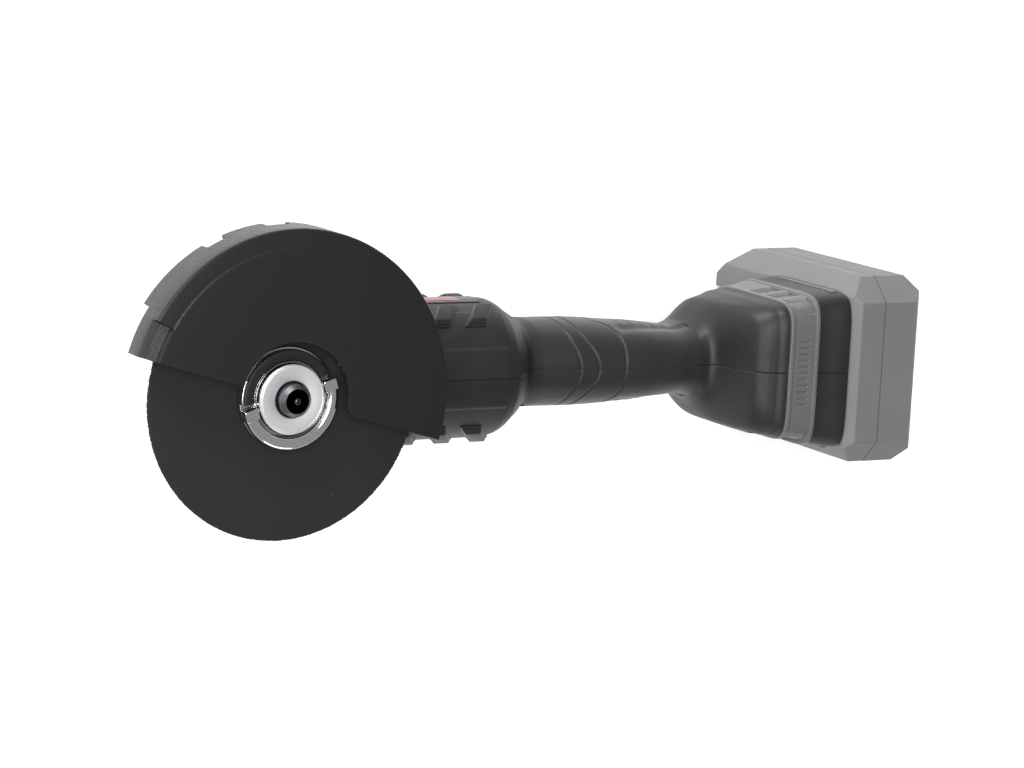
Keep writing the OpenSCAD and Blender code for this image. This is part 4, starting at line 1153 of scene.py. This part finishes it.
class GRINDER_OT_foot(Operator):
    """Builds the foot's band with its louvres and marks, and the bars behind it"""

    bl_idname = "grinder.foot"
    bl_label = "Foot band"

    def execute(self, context):
        add_solid("foot_band_ring", foot_band(sizes().tick_count), "housing", "silver_plastic",
                  replaces=("foot_band",), sharp=45)
        add_solid("foot_side_bars", side_inserts(), "housing", "silver_plastic")
        reworked(battery_mount=0.3)
        return {"FINISHED"}


# ---------------------------------------------------------------- battery


class GRINDER_OT_battery(Operator):
    """Finishes the battery's two shells, its buttons and screws"""

    bl_idname = "grinder.battery"
    bl_label = "Battery"

    def execute(self, context):
        reworked(
            battery_case_front=0.7, battery_case_rear=0.7, battery_release_button=0.35, charge_button=0.3,
            battery_screws=0.15)
        return {"FINISHED"}


# ---------------------------------------------------------------- gear head and controls


class GRINDER_OT_gear_head(Operator):
    """Finishes the gear case, its pad, the bearing cover, their screws, the lock button and the switch"""

    bl_idname = "grinder.gear_head"
    bl_label = "Gear head and controls"

    def execute(self, context):
        reworked(
            gear_case=0.8, gear_case_pad=0.6, bearing_cover=0.5, gear_case_screws=0.15,
            bearing_cover_screws=0.15, spindle_lock_button=0.5, switch_slider=0.5)
        return {"FINISHED"}


class GRINDER_OT_inner_parts(Operator):
    """Gives every node of the frame its own finish"""

    bl_idname = "grinder.inner_parts"
    bl_label = "Inner parts"

    def execute(self, context):
        for name, node in frame["nodes"].items():
            node.data.materials.clear()
            node.data.materials.append(finish(slot_of(name)))
        return {"FINISHED"}


# ---------------------------------------------------------------- stage

LENS_MM = 128.9
CAMERA_PLACE = (-0.6586, 0.2685, 1.4676)  # metres
CAMERA_RIGHT, CAMERA_UP, CAMERA_BACK = (
    (0.8761, 0.0512, 0.4794), (0.0361, 0.9846, -0.1712), (-0.4808, 0.1673, 0.8607))
LIGHT_TARGET = (0.12, 0, 0.06)  # the tool's middle
LIGHTS = (  # name, place and size in metres, watts
    ("key light", (-0.7, 1.5, 0.5), (1.0, 0.5), 30),
    ("camera side light", (-1.1, 0.35, 2.3), (1.6, 1.6), 62),
    ("low light", (0.3, -1.6, 0.6), (1.0, 0.4), 6))
TABLE_REACH = 8.0  # metres from the middle to each edge


def area_light(name, place, size, watts):
    """Rectangular soft light aimed at the tool's middle."""
    light = bpy.data.lights.new(name, "AREA")
    light.shape = "RECTANGLE"
    light.size, light.size_y = size
    light.energy = watts
    lamp = bpy.data.objects.new(name, light)
    lamp.location = place
    lamp.visible_camera = False
    lamp.rotation_euler = (Vector(LIGHT_TARGET) - Vector(place)).to_track_quat("-Z", "Y").to_euler()
    bpy.context.scene.collection.objects.link(lamp)


class GRINDER_OT_stage(Operator):
    """Sets up the camera, the soft studio lights and the lit white table"""

    bl_idname = "grinder.stage"
    bl_label = "Stage"

    def execute(self, context):
        scene = context.scene
        camera = bpy.data.objects.new("camera", bpy.data.cameras.new("camera"))
        camera.data.lens = LENS_MM
        camera.data.sensor_width = 36
        camera.data.clip_start = 0.05
        turn = Matrix((CAMERA_RIGHT, CAMERA_UP, CAMERA_BACK)).transposed().to_4x4()
        camera.matrix_world = Matrix.Translation(CAMERA_PLACE) @ turn
        scene.collection.objects.link(camera)
        scene.camera = camera

        mesh = bpy.data.meshes.new("floor")
        corners = [(-1, -1), (1, -1), (1, 1), (-1, 1)]
        mesh.from_pydata(
            [(x * TABLE_REACH, y * TABLE_REACH, CAD_BOX[0][2]) for x, y in corners], [], [(0, 1, 2, 3)])
        floor = bpy.data.objects.new("floor", mesh)
        scene.collection.objects.link(floor)
        # a light table: lit from within as well as from above, so that shadows on it stay faint
        acrylic, tree, shader, where = new_material(
            "Lit white acrylic", Roughness=0.9, Emission_Color=(1, 1, 1, 1), Emission_Strength=0.3)
        mottle = grain(tree, where, 3.0, 3)
        tree.links.new(tinted(tree, mottle, linear("#fafafa"), 1.0, 0.985), shader.inputs["Base Color"])
        mesh.materials.append(acrylic)

        world = bpy.data.worlds.new("studio")
        scene.world = world
        world.use_nodes = True
        background = world.node_tree.nodes["Background"]
        background.inputs["Color"].default_value = (*linear("#f2f4f6"), 1)
        background.inputs["Strength"].default_value = 0.35
        scene.view_settings.view_transform = "Standard"

        for light in LIGHTS:
            area_light(*light)
        return {"FINISHED"}


# ---------------------------------------------------------------- panel and registration

OPERATORS = (
    GRINDER_OT_stage, GRINDER_OT_guard, GRINDER_OT_disc, GRINDER_OT_quick_nut, GRINDER_OT_housing,
    GRINDER_OT_barrel_trim, GRINDER_OT_grip, GRINDER_OT_foot, GRINDER_OT_battery, GRINDER_OT_gear_head,
    GRINDER_OT_inner_parts)


class GRINDER_PT_panel(Panel):
    """Lists the grinder's settings and the operators that build it"""

    bl_idname = "GRINDER_PT_panel"
    bl_label = "Angle Grinder"
    bl_space_type = "VIEW_3D"
    bl_region_type = "UI"
    bl_category = "Grinder"

    def draw(self, context):
        for group in (context.scene.grinder_sizes, context.scene.grinder_colours):
            box = self.layout.box()
            for name in group.__annotations__:
                box.prop(group, name)
        for operator in OPERATORS:
            self.layout.operator(operator.bl_idname)


CLASSES = (GrinderSizes, GrinderColours, *OPERATORS, GRINDER_PT_panel)


def register():
    for cls in CLASSES:
        bpy.utils.register_class(cls)
    bpy.types.Scene.grinder_sizes = PointerProperty(type=GrinderSizes)
    bpy.types.Scene.grinder_colours = PointerProperty(type=GrinderColours)


def unregister():
    del bpy.types.Scene.grinder_colours
    del bpy.types.Scene.grinder_sizes
    for cls in reversed(CLASSES):
        bpy.utils.unregister_class(cls)


def main():
    register()
    for operator in OPERATORS:
        group, name = operator.bl_idname.split(".")
        getattr(getattr(bpy.ops, group), name)()


if __name__ == "__main__":
    main()
